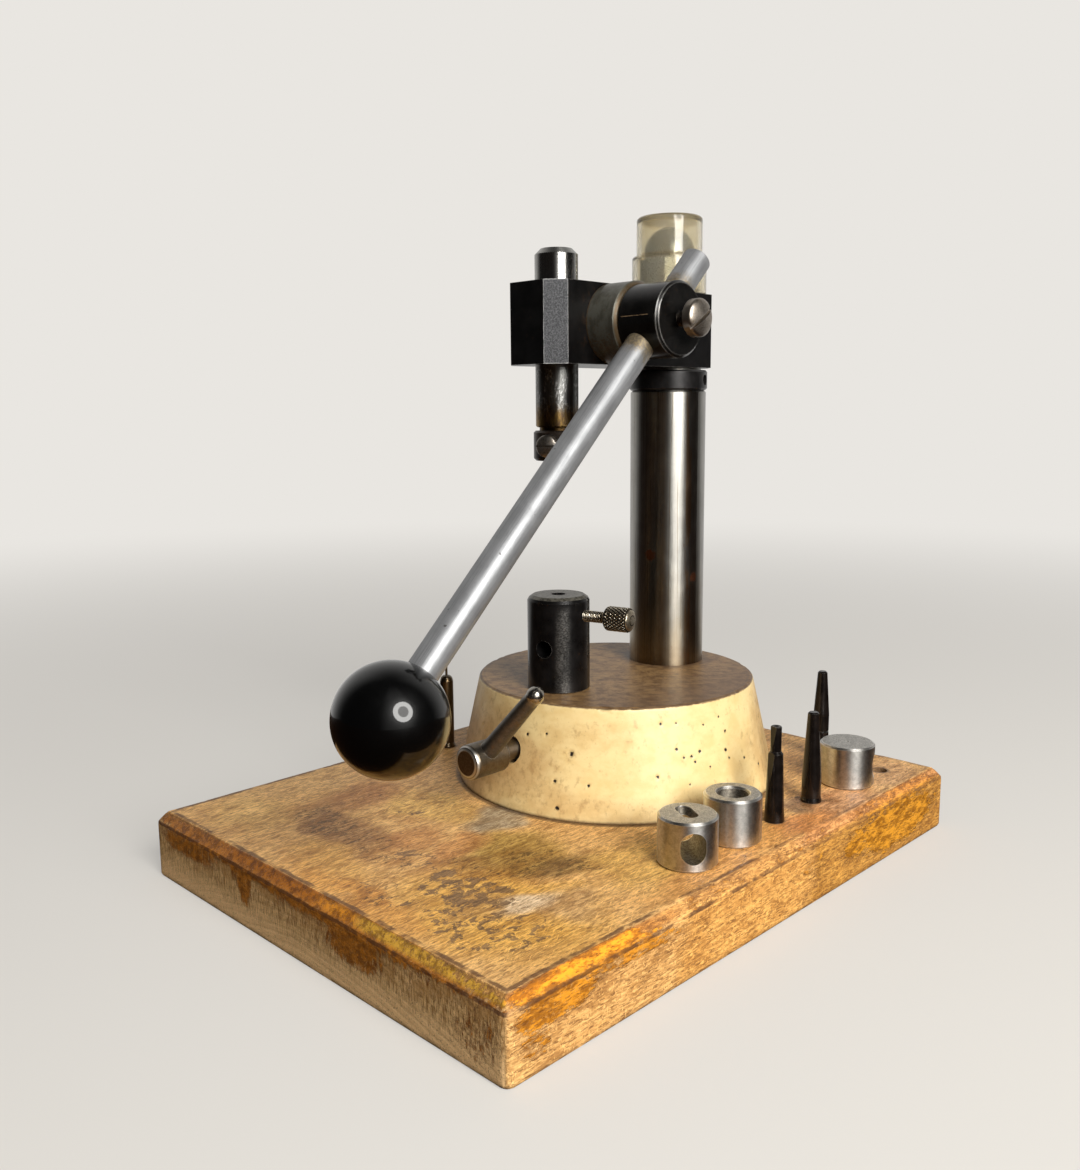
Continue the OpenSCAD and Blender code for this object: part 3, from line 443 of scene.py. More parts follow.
def board_lines(half):
    """Grid lines over the width or depth, closer on the chamfer."""
    inner = half - CHAMFER
    edge = [half, half - 0.5, half - 1.6, half - 2.8, inner + 0.4]
    middle = np.linspace(-inner, inner, round(2 * inner / BOARD_GRID) + 1)
    return np.concatenate([[-e for e in edge], middle, edge[::-1]])


def build_board():
    """A fine grid on top and rings down the faces, worn at the edges, with its holes."""
    xs, ys = board_lines(HALF_W), board_lines(HALF_D)
    nx, ny = len(xs), len(ys)
    gx, gy = np.meshgrid(xs, ys, indexing="ij")
    x, y = gx.ravel(), gy.ravel()
    over = np.maximum(np.maximum(np.abs(x) - HALF_W + CHAMFER, np.abs(y) - HALF_D + CHAMFER), 0)
    # the edge between top and chamfer is worn round, over a width and by a depth
    worn, depth = 1.2, 0.12
    z = BOARD_T - over
    z -= np.where(over < worn, depth * (1 - over / worn) * ease(over, -0.01, 0.4), 0)
    # upright corners
    dx = np.maximum(np.abs(x) - HALF_W + CORNER, 0)
    dy = np.maximum(np.abs(y) - HALF_D + CORNER, 0)
    round_off = (dx > 0) & (dy > 0)
    scale = np.ones(len(x))
    scale[round_off] = np.maximum(dx, dy)[round_off] / np.hypot(dx, dy)[round_off]
    x = np.sign(x) * (np.abs(x) - dx + dx * scale)
    y = np.sign(y) * (np.abs(y) - dy + dy * scale)
    points = [np.stack([x, y, z], 1)]
    index = np.arange(nx * ny).reshape(nx, ny)
    corners = index[:-1, :-1], index[1:, :-1], index[1:, 1:], index[:-1, 1:]
    faces = np.stack(corners, 2).reshape(-1, 4).tolist()
    top = [*index[:, 0], *index[-1, 1:], *index[-2::-1, -1], *index[0, -2:0:-1]]
    rim = points[0][top]
    count, n = nx * ny, len(top)
    for level, inset in BOARD_RINGS:
        ring = rim.copy()
        ring[:, 0] -= np.sign(ring[:, 0]) * inset * (np.abs(ring[:, 0]) > HALF_W - CORNER)
        ring[:, 1] -= np.sign(ring[:, 1]) * inset * (np.abs(ring[:, 1]) > HALF_D - CORNER)
        ring[:, 2] = level
        points.append(ring)
        low = list(range(count, count + n))
        count += n
        faces += [(top[i], low[i], low[(i + 1) % n], top[(i + 1) % n]) for i in range(n)]
        top = low
    faces.append(top[::-1])
    obj = piece("board", np.concatenate(points), [[int(v) for v in f] for f in faces], sharp=50)
    # wear: the chamfer and the upright edges are chipped and rubbed inwards, never outwards
    co = coords(obj)
    from_x, from_y = np.abs(np.abs(co[:, 0]) - HALF_W), np.abs(np.abs(co[:, 1]) - HALF_D)
    edge_x, edge_y = from_x < CHAMFER + 0.6, from_y < CHAMFER + 0.6
    chamfer = (edge_x | edge_y) & (co[:, 2] > 23)
    rub = wander2(co, 9, 3) * 0.35 + ease(wander2(co, 5, 8), 0.62, 0.8) * 0.5
    inward = [-np.sign(co[:, 0]) * edge_x, -np.sign(co[:, 1]) * edge_y, -0.7 * np.ones(len(co))]
    co[chamfer] += (np.stack(inward, 1) * rub[:, None])[chamfer] * 0.55
    side = (edge_x | edge_y) & (co[:, 2] <= 23) & (co[:, 2] > 0.5)
    flat = wander2(co, 14, 12) * 0.25
    for axis, half in ((0, HALF_W), (1, HALF_D)):
        outer = np.abs(np.abs(co[:, axis]) - half) < 0.01
        co[:, axis] -= np.sign(co[:, axis]) * flat * (side & outer)
    top_face = co[:, 2] > BOARD_T - 0.01
    near_edge = np.maximum(np.abs(co[:, 0]) - 96, np.abs(co[:, 1]) - 128)
    co[:, 2] -= np.where(top_face, wander2(co, 22, 31) * 0.08 * ease(near_edge, -30, 0), 0)
    set_coords(obj, co)
    bottom = BOARD_T - PUNCH_HOLE_DEPTH
    cutters = [rod("c", PUNCH_HOLE_R, 30, placed(*hole, bottom), 40) for hole in PUNCH_HOLES]
    cutters += [rod("c", 4.5, 60, placed(*hole, -5), 40) for hole in FOOT_SCREWS]
    cutters += [rod("c", 9, 18, placed(*hole, -10), 48) for hole in FOOT_SCREWS]
    cut(obj, cutters)
    smooth(obj, 50)
    return obj


# Soft patches of colour over the board's top: x, y, half width, half depth, turn, colour, amount
PATCHES = [
    (-96, -60, 18, 60, 0, (208, 166, 112), 0.7),
    (-66, -50, 40, 30, 0, (196, 154, 104), 0.6),
    (-58, -72, 16, 24, 10, (176, 124, 76), 0.7),
    (-34, -98, 30, 16, 0, (160, 118, 76), 0.75),
    (-28, -56, 28, 16, 0, (204, 162, 92), 0.8),
    (4, -50, 13, 15, 8, (164, 146, 122), 0.9),
    (34, -62, 24, 22, -10, (166, 132, 66), 0.85),
    (56, -54, 9, 18, -24, (118, 92, 54), 0.75),
    (36, -82, 14, 10, 30, (140, 106, 58), 0.6),
    (14, -76, 10, 20, 8, (178, 116, 62), 0.6),
    (24, -96, 9, 12, 0, (168, 116, 66), 0.6),
    (-4, -84, 10, 12, 0, (176, 116, 62), 0.6),
    (-76, -112, 24, 18, 0, (214, 172, 108), 0.7),
    (-10, -116, 26, 12, 0, (206, 156, 84), 0.7),
    (64, -102, 46, 32, 0, (212, 160, 76), 0.85),
    (78, -86, 15, 15, 0, (196, 160, 118), 0.75),
    (54, -104, 12, 12, 20, (160, 122, 80), 0.5),
    (20, -128, 46, 9, 0, (206, 148, 74), 0.8),
    (74, -40, 20, 26, 0, (200, 156, 84), 0.8),
    (96, -10, 12, 60, 0, (206, 148, 84), 0.85),
    (98, 40, 10, 20, 0, (198, 130, 74), 0.8),
    (92, 70, 16, 22, 0, (196, 144, 106), 0.8),
    (84, 50, 10, 9, 0, (126, 104, 92), 0.6),
    (66, -96, 9, 11, 20, (214, 190, 164), 0.8),
    (2, -44, 12, 9, 0, (170, 150, 124), 0.7),
    (90, 112, 18, 24, 0, (210, 164, 120), 0.8),
    (40, 122, 60, 22, 0, (196, 150, 98), 0.6),
    (-60, 110, 50, 34, 0, (198, 156, 104), 0.6),
    (-92, 40, 18, 60, 0, (200, 156, 104), 0.6),
    (-58, -17, 24, 16, 0, (188, 146, 98), 0.6),
]

# Where varnish is left on the chamfer and the faces: x, y, z, half sizes, amount
VARNISH = [
    (107, -104, 26, 8, 46, 5, 1.0),
    (107, -40, 26, 8, 30, 4, 0.55),
    (107, 20, 26, 8, 40, 4, 0.5),
    (107, 98, 26, 8, 50, 4, 0.8),
    (0, -140, 26, 150, 8, 6, 1.0),
    (-80, -141, 20, 30, 4, 7, 0.85),
    (-37, -141, 17, 10, 4, 11, 0.95),
    (0, -141, 21, 24, 4, 5, 0.6),
    (34, -141, 18, 26, 4, 10, 1.0),
    (66, -141, 20, 18, 4, 5, 0.45),
    (96, -141, 12, 12, 4, 14, 0.5),
    (108, -118, 19, 4, 30, 7, 1.0),
    (108, -78, 21, 4, 22, 4, 0.75),
    (108, -128, 10, 4, 14, 8, 0.6),
    (108, 30, 16, 4, 30, 8, 0.5),
    (108, 92, 14, 4, 50, 14, 0.95),
    (-107, 0, 20, 6, 150, 12, 0.65),
    (0, 141, 20, 110, 6, 12, 0.65),
]

# Where the top's varnish has come off in grey-brown islands: x, y, half width, half depth, amount
FLAKES = [
    (44, -100, 26, 22, 1.0),
    (62, -112, 30, 18, 0.85),
    (80, -112, 18, 22, 0.75),
    (10, -94, 16, 10, 0.85),
    (24, -122, 20, 10, 0.8),
    (-22, -96, 14, 12, 0.55),
    (-26, -66, 6, 6, 0.7),
    (84, 52, 12, 9, 0.7),
    (98, 10, 6, 40, 0.5),
]

# Brown dirt on the top: x, y, half width, half depth, amount
DIRT = [
    (-40, -98, 40, 16, 0.9),
    (-6, -98, 20, 12, 0.8),
    (-56, -70, 14, 22, 0.7),
    (46, -66, 18, 20, 0.9),
    (58, -54, 8, 10, 1.0),
    (34, -84, 20, 8, 0.8),
    (78, -88, 12, 16, 0.6),
    (22, -126, 20, 8, 0.8),
    (-20, -72, 12, 8, 0.6),
    (-42, -50, 8, 5, 0.6),
    (84, 52, 12, 9, 0.8),
    (86, 60, 8, 8, 0.9),
    (-90, -120, 18, 12, 0.4),
    (-40, -122, 60, 10, 0.4),
    (60, 100, 40, 30, 0.4),
    (-70, 80, 40, 50, 0.5),
]

# Wood and varnish colours of the faces: along which face, from, to, wood, varnish
FACES = [
    ("front", -110, 110, (206, 166, 112), (160, 98, 24)),
    ("right", -142, -60, (228, 178, 112), (204, 134, 34)),
    ("right", -60, 24, (230, 174, 98), (196, 130, 46)),
    ("right", 24, 142, (206, 152, 74), (206, 142, 44)),
    ("front edge", -110, -50, (178, 128, 70), (152, 96, 34)),
    ("front edge", -50, 8, (168, 114, 56), (150, 90, 20)),
    ("front edge", 8, 34, (178, 124, 60), (190, 124, 30)),
    ("front edge", 34, 110, (190, 144, 80), (184, 142, 50)),
    ("right edge", -142, -62, (196, 134, 62), (236, 154, 40)),
    ("right edge", -62, 20, (216, 162, 94), (190, 132, 62)),
    ("right edge", 20, 142, (214, 154, 96), (202, 136, 62)),
]


def spots(points, rows, axes):
    """Soft elliptical spots: each row is centre, half sizes and amount, over some axes."""
    total = np.zeros(len(points))
    for row in rows:
        centre, half, amount = row[:axes], row[axes:2 * axes], row[-1]
        d = sum(((points[:, k] - centre[k]) / half[k]) ** 2 for k in range(axes))
        total = np.maximum(total, amount * (1 - ease(np.sqrt(d), 0.45, 1.15)))
    return total


def paint_board(obj):
    """Writes the board's colours and amounts of varnish, dirt and flakes on its vertices."""
    co = coords(obj)
    bent = co.copy()
    bent[:, 0] += (wander2(co, 14, 2) - 0.5) * 16
    bent[:, 1] += (wander2(co, 18, 6) - 0.5) * 24
    wood = np.tile(np.array(rgb(210, 164, 106)), (len(co), 1))
    coat = np.tile(np.array(rgb(170, 104, 40)), (len(co), 1))
    for x, y, w, d, turn, colour, amount in PATCHES:
        c, s = math.cos(math.radians(turn)), math.sin(math.radians(turn))
        u = ((bent[:, 0] - x) * c + (bent[:, 1] - y) * s) / w
        v = (-(bent[:, 0] - x) * s + (bent[:, 1] - y) * c) / d
        mask = amount * (1 - ease(np.hypot(u, v), 0.5, 1.2))
        wood += (np.array(rgb(*colour)) - wood) * mask[:, None]
    wood = wood * [1.22, 1.30, 1.34]
    low = co[:, 2] < BOARD_T - CHAMFER + 0.5
    edge = (co[:, 2] < BOARD_T - 0.3) & ~low
    side = np.abs(co[:, 0]) - HALF_W > np.abs(co[:, 1]) - HALF_D
    along = np.where(side, bent[:, 1], bent[:, 0])
    for face, start, end, bare, varnish in FACES:
        here = side if face.startswith("right") else ~side
        here = here & (edge if face.endswith("edge") else low)
        inside = here * ease(along, start - 7, start + 7) * (1 - ease(along, end - 7, end + 7))
        wood += (np.array(rgb(*bare)) - wood) * inside[:, None]
        coat += (np.array(rgb(*varnish)) - coat) * inside[:, None]
    attribute(obj, "wood", wood)
    attribute(obj, "coat", coat)
    bent_x, bent_y = np.where(side, co[:, 0], bent[:, 0]), np.where(side, bent[:, 1], co[:, 1])
    attribute(obj, "varnish", spots(np.column_stack([bent_x, bent_y, co[:, 2]]), VARNISH, 3))
    attribute(obj, "dirt", spots(bent, DIRT, 2))
    attribute(obj, "flakes", spots(bent, FLAKES, 2))


def board_material():
    m = Finish("varnished_wood", Specular_IOR_Level=0.4, IOR=1.5)
    x, y, z = m.x, m.y, m.z
    end_face = m.step(m.absolute(m.along(BACK)), 0.8, 0.92)
    side_face = m.step(m.absolute(m.along(ACROSS)), 0.85, 0.97)
    top_face = m.step(m.along(UP), 0.85, 0.97)
    bevel = m.sub(1.0, m.most(end_face, side_face, top_face))
    wood = m.attr("wood", colour=True)
    coat = m.attr("coat", colour=True)
    # long grain: broad bands, fine streaks, short dark dashes and pale scratches along Y
    broad = m.noise((6, 90, 7), 3, 0.55, 11, 0.5)
    streak = m.noise((0.9, 22, 0.9), 4, 0.65, 3)
    fibre = m.noise((1.0, 5.5, 1.0), 5, 0.74, 5, 0.4)
    mottle = m.noise((3.4, 7.0, 3.4), 5, 0.7, 13, 0.6)
    dash = m.patchy((0.58, 0.66), (0.5, 3.0, 0.5), 1, 0.5, 21)
    grit = m.noise(0.8, 3, 0.75, 57)

    def strokes(step, thin, shift, *rows):
        """Short thin lines: each row is the angle and the length of some of them."""
        return m.most(*(m.patchy(step, (thin, long, 2.0), 2, 0.6, shift + turn, turn=turn)
                        for turn, long in rows))

    scratch = strokes((0.63, 0.71), 0.34, 51, (4, 8), (-24, 6), (31, 7))
    nick = strokes((0.65, 0.72), 0.40, 71, (-8, 6), (18, 5))
    pale, dark = m.tint(wood, 1.27, 1.25, 1.18), m.tint(wood, 0.55, 0.47, 0.37)
    dark_fibre = m.step(fibre, 0.40, 0.60)
    long_wood = m.mix(dark_fibre, pale, dark)
    for tint, value, step, amount in (
        ((0.70, 0.60, 0.48), streak, (0.62, 0.42, 0.45, 0.0), None),
        ((0.74, 0.62, 0.48), broad, (0.5, 0.72), 0.5),
        ((1.36, 1.30, 1.2), mottle, (0.52, 0.72), 0.5),
        ((0.60, 0.48, 0.36), mottle, (0.47, 0.30), 0.6),
    ):
        long_wood = m.over(long_wood, m.tint(wood, *tint), m.step(value, *step), amount)
    patches = m.noise((8, 20, 8), 6, 0.72, 19, 0.5)
    for tint, step in (
        ((0.62, 0.53, 0.40), (0.53, 0.59, 0.0, 0.6)),
        ((1.30, 1.30, 1.24), (0.44, 0.36, 0.0, 0.4)),
    ):
        long_wood = m.over(long_wood, m.tint(long_wood, *tint), m.step(patches, *step))
    long_wood = m.over(long_wood, (104, 68, 36), dash, 0.6)
    long_wood = m.over(long_wood, m.tint(wood, 1.6, 1.6, 1.5), scratch, 0.6)
    long_wood = m.over(long_wood, m.tint(wood, 0.36, 0.28, 0.20), nick, 0.65)
    gritty = m.step(grit, 0.35, 0.75, 0.0, 0.3)
    long_wood = m.over(long_wood, m.tint(wood, 0.66, 0.56, 0.46), gritty)
    # end grain: growth rings round a point far below the board, saw marks and pores
    bow = m.node("CombineXYZ", {0: m.sub(x, 7.0), 1: 0.0, 2: m.add(z, 230.0)}).outputs[0]
    ring_r = m.vector("LENGTH", bow).outputs["Value"]
    ring_r = m.ragged(ring_r, 5.0, (34, 30, 16), 2, 0.5, 5)
    rings = m.step(m.calc("SINE", m.mul(ring_r, 2 * math.pi / 3.1)), -0.3, 1.0)
    marks = m.noise((0.55, 1.0, 3.4), 4, 0.7, 15, 0.3)
    pores = m.patchy((0.54, 0.66), 0.55, 2, 0.7, 19)
    faded = m.patchy((0.40, 0.65, 0.0, 0.30), (18, 20, 9), 3, 0.6, 23)
    end_wood = m.over(wood, m.tint(wood, 0.56, 0.48, 0.40), m.mul(rings, faded))
    end_wood = m.over(end_wood, m.tint(wood, 0.46, 0.38, 0.28), m.step(marks, 0.52, 0.38))
    end_wood = m.over(end_wood, m.tint(wood, 1.42, 1.42, 1.42), m.step(marks, 0.50, 0.66, 0.0, 0.8))
    brown = m.ragged(m.mul(z, 0.020), 0.9, (9, 9, 7), 5, 0.7, 17)
    end_wood = m.over(end_wood, m.tint(wood, 0.62, 0.48, 0.28), m.step(brown, 0.68, 0.92, 0.0, 0.6))
    low = m.step(m.ragged(z, 10.0, 9, 4, 0.65, 25), 19.0, 9.0, 0.0, 0.8)
    end_wood = m.over(end_wood, m.tint(wood, 1.42, 1.46, 1.62), low)
    end_wood = m.over(end_wood, (74, 52, 30), pores, 0.5)
    bare = m.mix(end_face, long_wood, end_wood)
    # brown dirt in the open grain and flaked islands of old varnish, with ragged borders
    border = m.mul(m.noise((2.4, 6.5, 3), 5, 0.74, 31, 0.5), 0.7)
    border = m.ragged(border, 0.3, (0.7, 2.0, 0.8), 3, 0.7, 37)
    dirt = m.mul(m.attr("dirt"), top_face)
    soft = m.mul(m.step(dirt, 0.0, 0.8), m.patchy((0.36, 0.62, 0.1, 0.65), (5, 13, 6), 4, 0.65, 33))
    soiled = m.step(m.add(m.mul(dirt, 0.20), border), 0.69, 0.735)
    soiled = m.mul(soiled, m.step(dirt, 0.02, 0.3))
    flakes = m.mul(m.attr("flakes"), top_face)
    island = m.mul(m.noise((4.2, 6.5, 4), 4, 0.66, 43, 0.4), 0.8)
    island = m.ragged(island, 0.2, (0.9, 1.7, 1), 3, 0.65, 47)
    island = m.step(m.add(m.mul(flakes, 0.22), island), 0.705, 0.725)
    island = m.mul(island, m.step(flakes, 0.1, 0.4))
    colour = m.mix(soft, bare, m.tint(bare, 0.66, 0.52, 0.38))
    colour = m.over(colour, m.mix(dark_fibre, rgb(110, 80, 42), rgb(78, 52, 26)), soiled, 0.85)
    colour = m.over(colour, m.mix(dark_fibre, rgb(140, 106, 70), rgb(92, 68, 46)), island, 0.85)
    # varnish on the chamfer and the faces, worn off in ragged drips
    left = m.attr("varnish")
    drip = m.noise((1.3, 3.2, 4.4), 5, 0.7, 61)
    drip_side = m.noise((2.0, 6.5, 1.6), 5, 0.7, 63)
    fine = m.noise(0.8, 3, 0.7, 67)
    worn = m.add(m.mul(m.between(end_face, drip_side, drip), 0.75), m.mul(fine, 0.25))
    level = m.add(m.mul(left, 0.42), worn)
    off_top = m.step(top_face, 0.6, 0.1)
    varnish = m.mul(m.step(level, 0.74, 0.79), off_top)
    rim = m.mul(m.band(level, 0.715, 0.74, 0.02), off_top)
    bright, brown = m.tint(coat, 1.3, 1.26, 1.15), m.tint(coat, 0.50, 0.42, 0.32)
    golden = m.mix(m.patchy((0.42, 0.60), (3.2, 8, 2.6), 5, 0.72, 71), bright, brown)
    golden = m.over(golden, m.mix(0.5, golden, wood), m.step(fine, 0.56, 0.66), 0.7)
    golden = m.over(golden, (96, 54, 22), dash, 0.5)
    colour = m.over(colour, golden, varnish, 0.92)
    colour = m.over(colour, (96, 60, 34), rim, 0.45)
    # dark lines under the chamfer and along the top's border, and painted shade along the foot of
    # the faces
    wobble = m.swing(3.0, (5, 7, 6), 5, 0.7, 81)
    line_z = m.band(m.add(z, m.mul(wobble, 0.5)), 23.3, 24.1, 0.5)
    line_z = m.mul(line_z, m.patchy((0.36, 0.5), (7, 12, 9), 3, 0.6, 85))
    past_x, past_y = m.sub(m.absolute(x), HALF_W - CHAMFER), m.sub(m.absolute(y), HALF_D - CHAMFER)
    far = m.add(m.most(past_x, past_y), wobble)
    line_top = m.mul(m.band(far, -1.6, 0.3, 0.8), m.patchy((0.36, 0.52), (10, 14, 9), 3, 0.6, 87))
    line_top = m.mul(line_top, m.most(top_face, m.mul(bevel, 0.5)))
    fading = m.between(m.step(y, -20.0, 30.0), 0.82, 0.45)
    colour = m.over(colour, (86, 54, 32), m.mul(m.most(line_z, line_top), fading))
    # painted shade where the faces meet the floor
    foot = m.mul(m.step(z, 2.2, 0.2), m.patchy((0.35, 0.6), (6, 6, 4), 3, 0.6, 89))
    colour = m.over(colour, (84, 60, 42), foot, 0.6)
    # painted shade round the foot of the pedestal and in the holes
    ring = m.band(m.distance((AXIS_X, PED_Y, 0), UP), 72.0, 73.4, 1.6)
    colour = m.over(colour, (78, 58, 40), m.mul(ring, top_face), 0.7)
    hole = m.most(*(m.step(m.distance((px, py, 0), UP), 5.6, 3.2) for px, py in PUNCH_HOLES))
    colour = m.over(colour, (52, 36, 26), hole, 0.75)
    rough = m.between(m.most(varnish, m.mul(top_face, 0.55)), 0.68, 0.34)
    rough = m.add(rough, m.swing(0.3, 1.6, 3, 0.6, 91))
    grain = m.mul(m.sub(m.add(streak, grit), dash), m.between(end_face, 0.6, 0.0))
    relief = m.add(m.mul(varnish, 0.9), grain)
    relief = m.sub(relief, m.mul(m.add(rings, pores, marks), m.mul(end_face, 0.35)))
    relief = m.sub(relief, m.mul(island, 0.5))
    return m.set(Base_Color=colour, Roughness=rough, Normal=m.bump(relief, 0.14))


board = build_board()
paint_board(board)
wear(board_material(), board)
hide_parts("base_board")
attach(board, "stand")


# Pedestal

# Casting pinholes in the side: angle from +X in degrees, height, size
PINHOLES = [
    (-64.7, 55, 1.3), (-27, 56.6, 0.8), (-24.4, 53, 0.7), (-21.2, 53, 0.8), (-20, 50.6, 0.7),
    (-17.7, 54.4, 0.9), (-34.5, 46.4, 0.9), (-23, 42, 0.6), (-14, 47.6, 0.6), (-5.7, 52.6, 1.0),
    (-4.4, 60, 0.8), (-4.4, 49, 0.7), (-32.4, 67, 0.8), (-26.3, 67, 0.6), (-6.8, 66.4, 0.6),
    (-2.5, 66.4, 0.5), (-14.8, 64.6, 0.6), (-70, 43.4, 0.9), (-58, 43, 0.9), (-68.4, 33, 1.2),
    (-83, 60, 0.8), (-74.8, 61.6, 0.7), (4.4, 46.6, 0.8), (14.3, 41, 0.9), (26, 58, 0.8),
    (40, 44, 0.9), (66, 52, 1.0), (95, 60, 0.8), (128, 40, 1.1), (150, 55, 0.7),
    (188, 48, 0.9), (214, 62, 0.8), (232, 38, 1.0), (250, 57, 0.7),
]
# The first of them, on the front and right, are drawn dark in the paint as well, as painted shade
PINHOLES_IN_PAINT = 26

# Chips of the paint at the top's rim: angle, width, depth
TOP_CHIPS = [
    (-53, 3.2, 1.6), (-42, 2.2, 1.0), (-20, 1.6, 0.6), (8, 2.0, 0.9), (100, 3.0, 1.2),
    (200, 2.6, 1.0),
]

# Yellow-brown age on the side: angle, height, half sizes, amount
AGED = [
    (-96, 50, 34, 26, 0.9), (-120, 40, 30, 30, 1.0), (-60, 62, 26, 10, 0.4), (-70, 36, 30, 8, 0.6),
    (-40, 32, 40, 5, 0.35), (22, 50, 16, 24, 0.75), (40, 56, 26, 26, 0.85), (80, 50, 40, 26, 0.6),
    (150, 50, 50, 30, 0.7), (-160, 50, 40, 30, 0.8), (2, 38, 10, 14, 0.3),
]


def side_place(angle, height, inset=0.0):
    """The point of the pedestal's side at an angle and a height, or a little further in."""
    slope = (height - BOARD_T) * (PED_FOOT_R - PED_TOP_R) / PED_H
    return *on_circle(PED_FOOT_R - slope - inset, angle), height


def pits(co, floor):
    """For each casting pinhole, how deep the points lie in it. floor is the share of its size
    that is deepest."""
    for angle, height, size in PINHOLES:
        px, py, pz = side_place(angle, height)
        d = np.sqrt((co[:, 0] - px) ** 2 + (co[:, 1] - py) ** 2 + ((co[:, 2] - pz) * 0.75) ** 2)
        d = d + (wander(co, 0.9, 2) - 0.5) * 0.5 * size
        yield 1 - ease(d, floor * size, size)


def chips(co, angle, floor):
    """For each chip of the top's rim, its depth and how far the points lie in it."""
    for at, width, depth in TOP_CHIPS:
        off = np.abs((angle - at + 180) % 360 - 180) * 1.1 + (wander(co, 1.1, 6) - 0.5) * 1.2
        high = ease(co[:, 2], PED_TOP - 0.2 - depth, PED_TOP - depth * 0.4)
        yield depth, (1 - ease(off, width * floor, width)) * high


def round_axis(co):
    """Places relative to the pedestal's axis, and their angles in degrees."""
    dx, dy = co[:, 0] - AXIS_X, co[:, 1] - PED_Y
    return dx, dy, np.degrees(np.arctan2(dy, dx))


def pedestal_profile():
    foot, top, high = PED_FOOT_R, PED_TOP_R, PED_H
    corners = [(0, 0), (foot - 0.5, 0), (foot, 0.5), (top + 0.17, high - 0.8),
               (top - 0.8, high), (0, high)]
    # the flat top and bottom need no fine rings
    side = [(r, z) for r, z in stepped(rounded(corners, 0.45, 3), 0.75)
            if 0.001 < z < high - 0.001 or r > foot - 2 or (r > top - 6 and z > 1)]
    profile = [(0, 0), (30, 0), *side, (50, high), (30, high), (0, high)]
    return profile[:1] + [b for a, b in zip(profile, profile[1:]) if Vector(a) != Vector(b)]


def build_pedestal():
    """The turned casting with its pinholes, chipped rim and bores."""
    obj = turned("pedestal_body", pedestal_profile(), placed(AXIS_X, PED_Y, BOARD_T), 620, 40)
    co = coords(obj)
    dx, dy, angle = round_axis(co)
    r = np.hypot(dx, dy)
    push = wander2(co, 30, 4) * 0.10 + wander2(co, 6, 14) * 0.05
    for pit in pits(co, 0.35):
        push += pit * 0.5
    for depth, chip in chips(co, angle, 0.4):
        push += chip * 0.5 * depth * (r > 61)
    rim = ease(co[:, 2], PED_TOP - 1, PED_TOP - 0.4)
    push += rim * ease(wander2(co, 3.5, 21), 0.5, 0.75) * 0.35
    outside = (co[:, 2] > BOARD_T + 0.3) & (r > 61)
    move = np.where(outside, push, 0) / np.maximum(r, 1e-6)
    co[:, 0] -= dx * move
    co[:, 1] -= dy * move
    set_coords(obj, co)

    def upright(y, low, high, radius, n=72, x=AXIS_X):
        return rod("c", radius, high - low, placed(x, y, low), n)

    def level(y, length, radius):
        return rod("c", radius, length, placed(AXIS_X, y, CLAMP_Z, rx=90))

    cutters = [
        upright(COLUMN_Y, 50, 90, 17.5, 128),  # column
        upright(COLUMN_Y, 20, 60, 5.5),  # column bolt
        upright(COLUMN_Y, 20, 44, 11),  # its head and washer
        upright(RAM_Y, 45, 90, 8.05, 96),  # anvil stem
        level(RAM_Y, 73, 5.05),  # clamp spindle
        level(-28.2, 60, 5.7),  # the wider mouth of its bore
    ]
    cutters += [upright(y, 20, 41.4, 4, x=x) for x, y in FOOT_SCREWS]
    cut(obj, cutters)
    smooth(obj, 40)

    # what the material reads: painted shade in the pinholes, the dark of the chips, and
    # yellow-brown age
    co = coords(obj)
    angle = round_axis(co)[2]
    dark = np.zeros(len(co))
    for mask in (*pits(co, 0.5), *(chip for _, chip in chips(co, angle, 0.5))):
        dark = np.maximum(dark, mask)
    attribute(obj, "pit", dark)
    age = np.zeros(len(co))
    bend = (wander2(co, 16, 5) - 0.5) * 26
    for at, height, w, h, amount in AGED:
        u = ((angle + bend - at + 180) % 360 - 180) / w
        v = (co[:, 2] + bend * 0.4 - height) / h
        age = np.maximum(age, amount * (1 - ease(np.hypot(u, v), 0.35, 1.2)))
    attribute(obj, "age", age)
    return obj


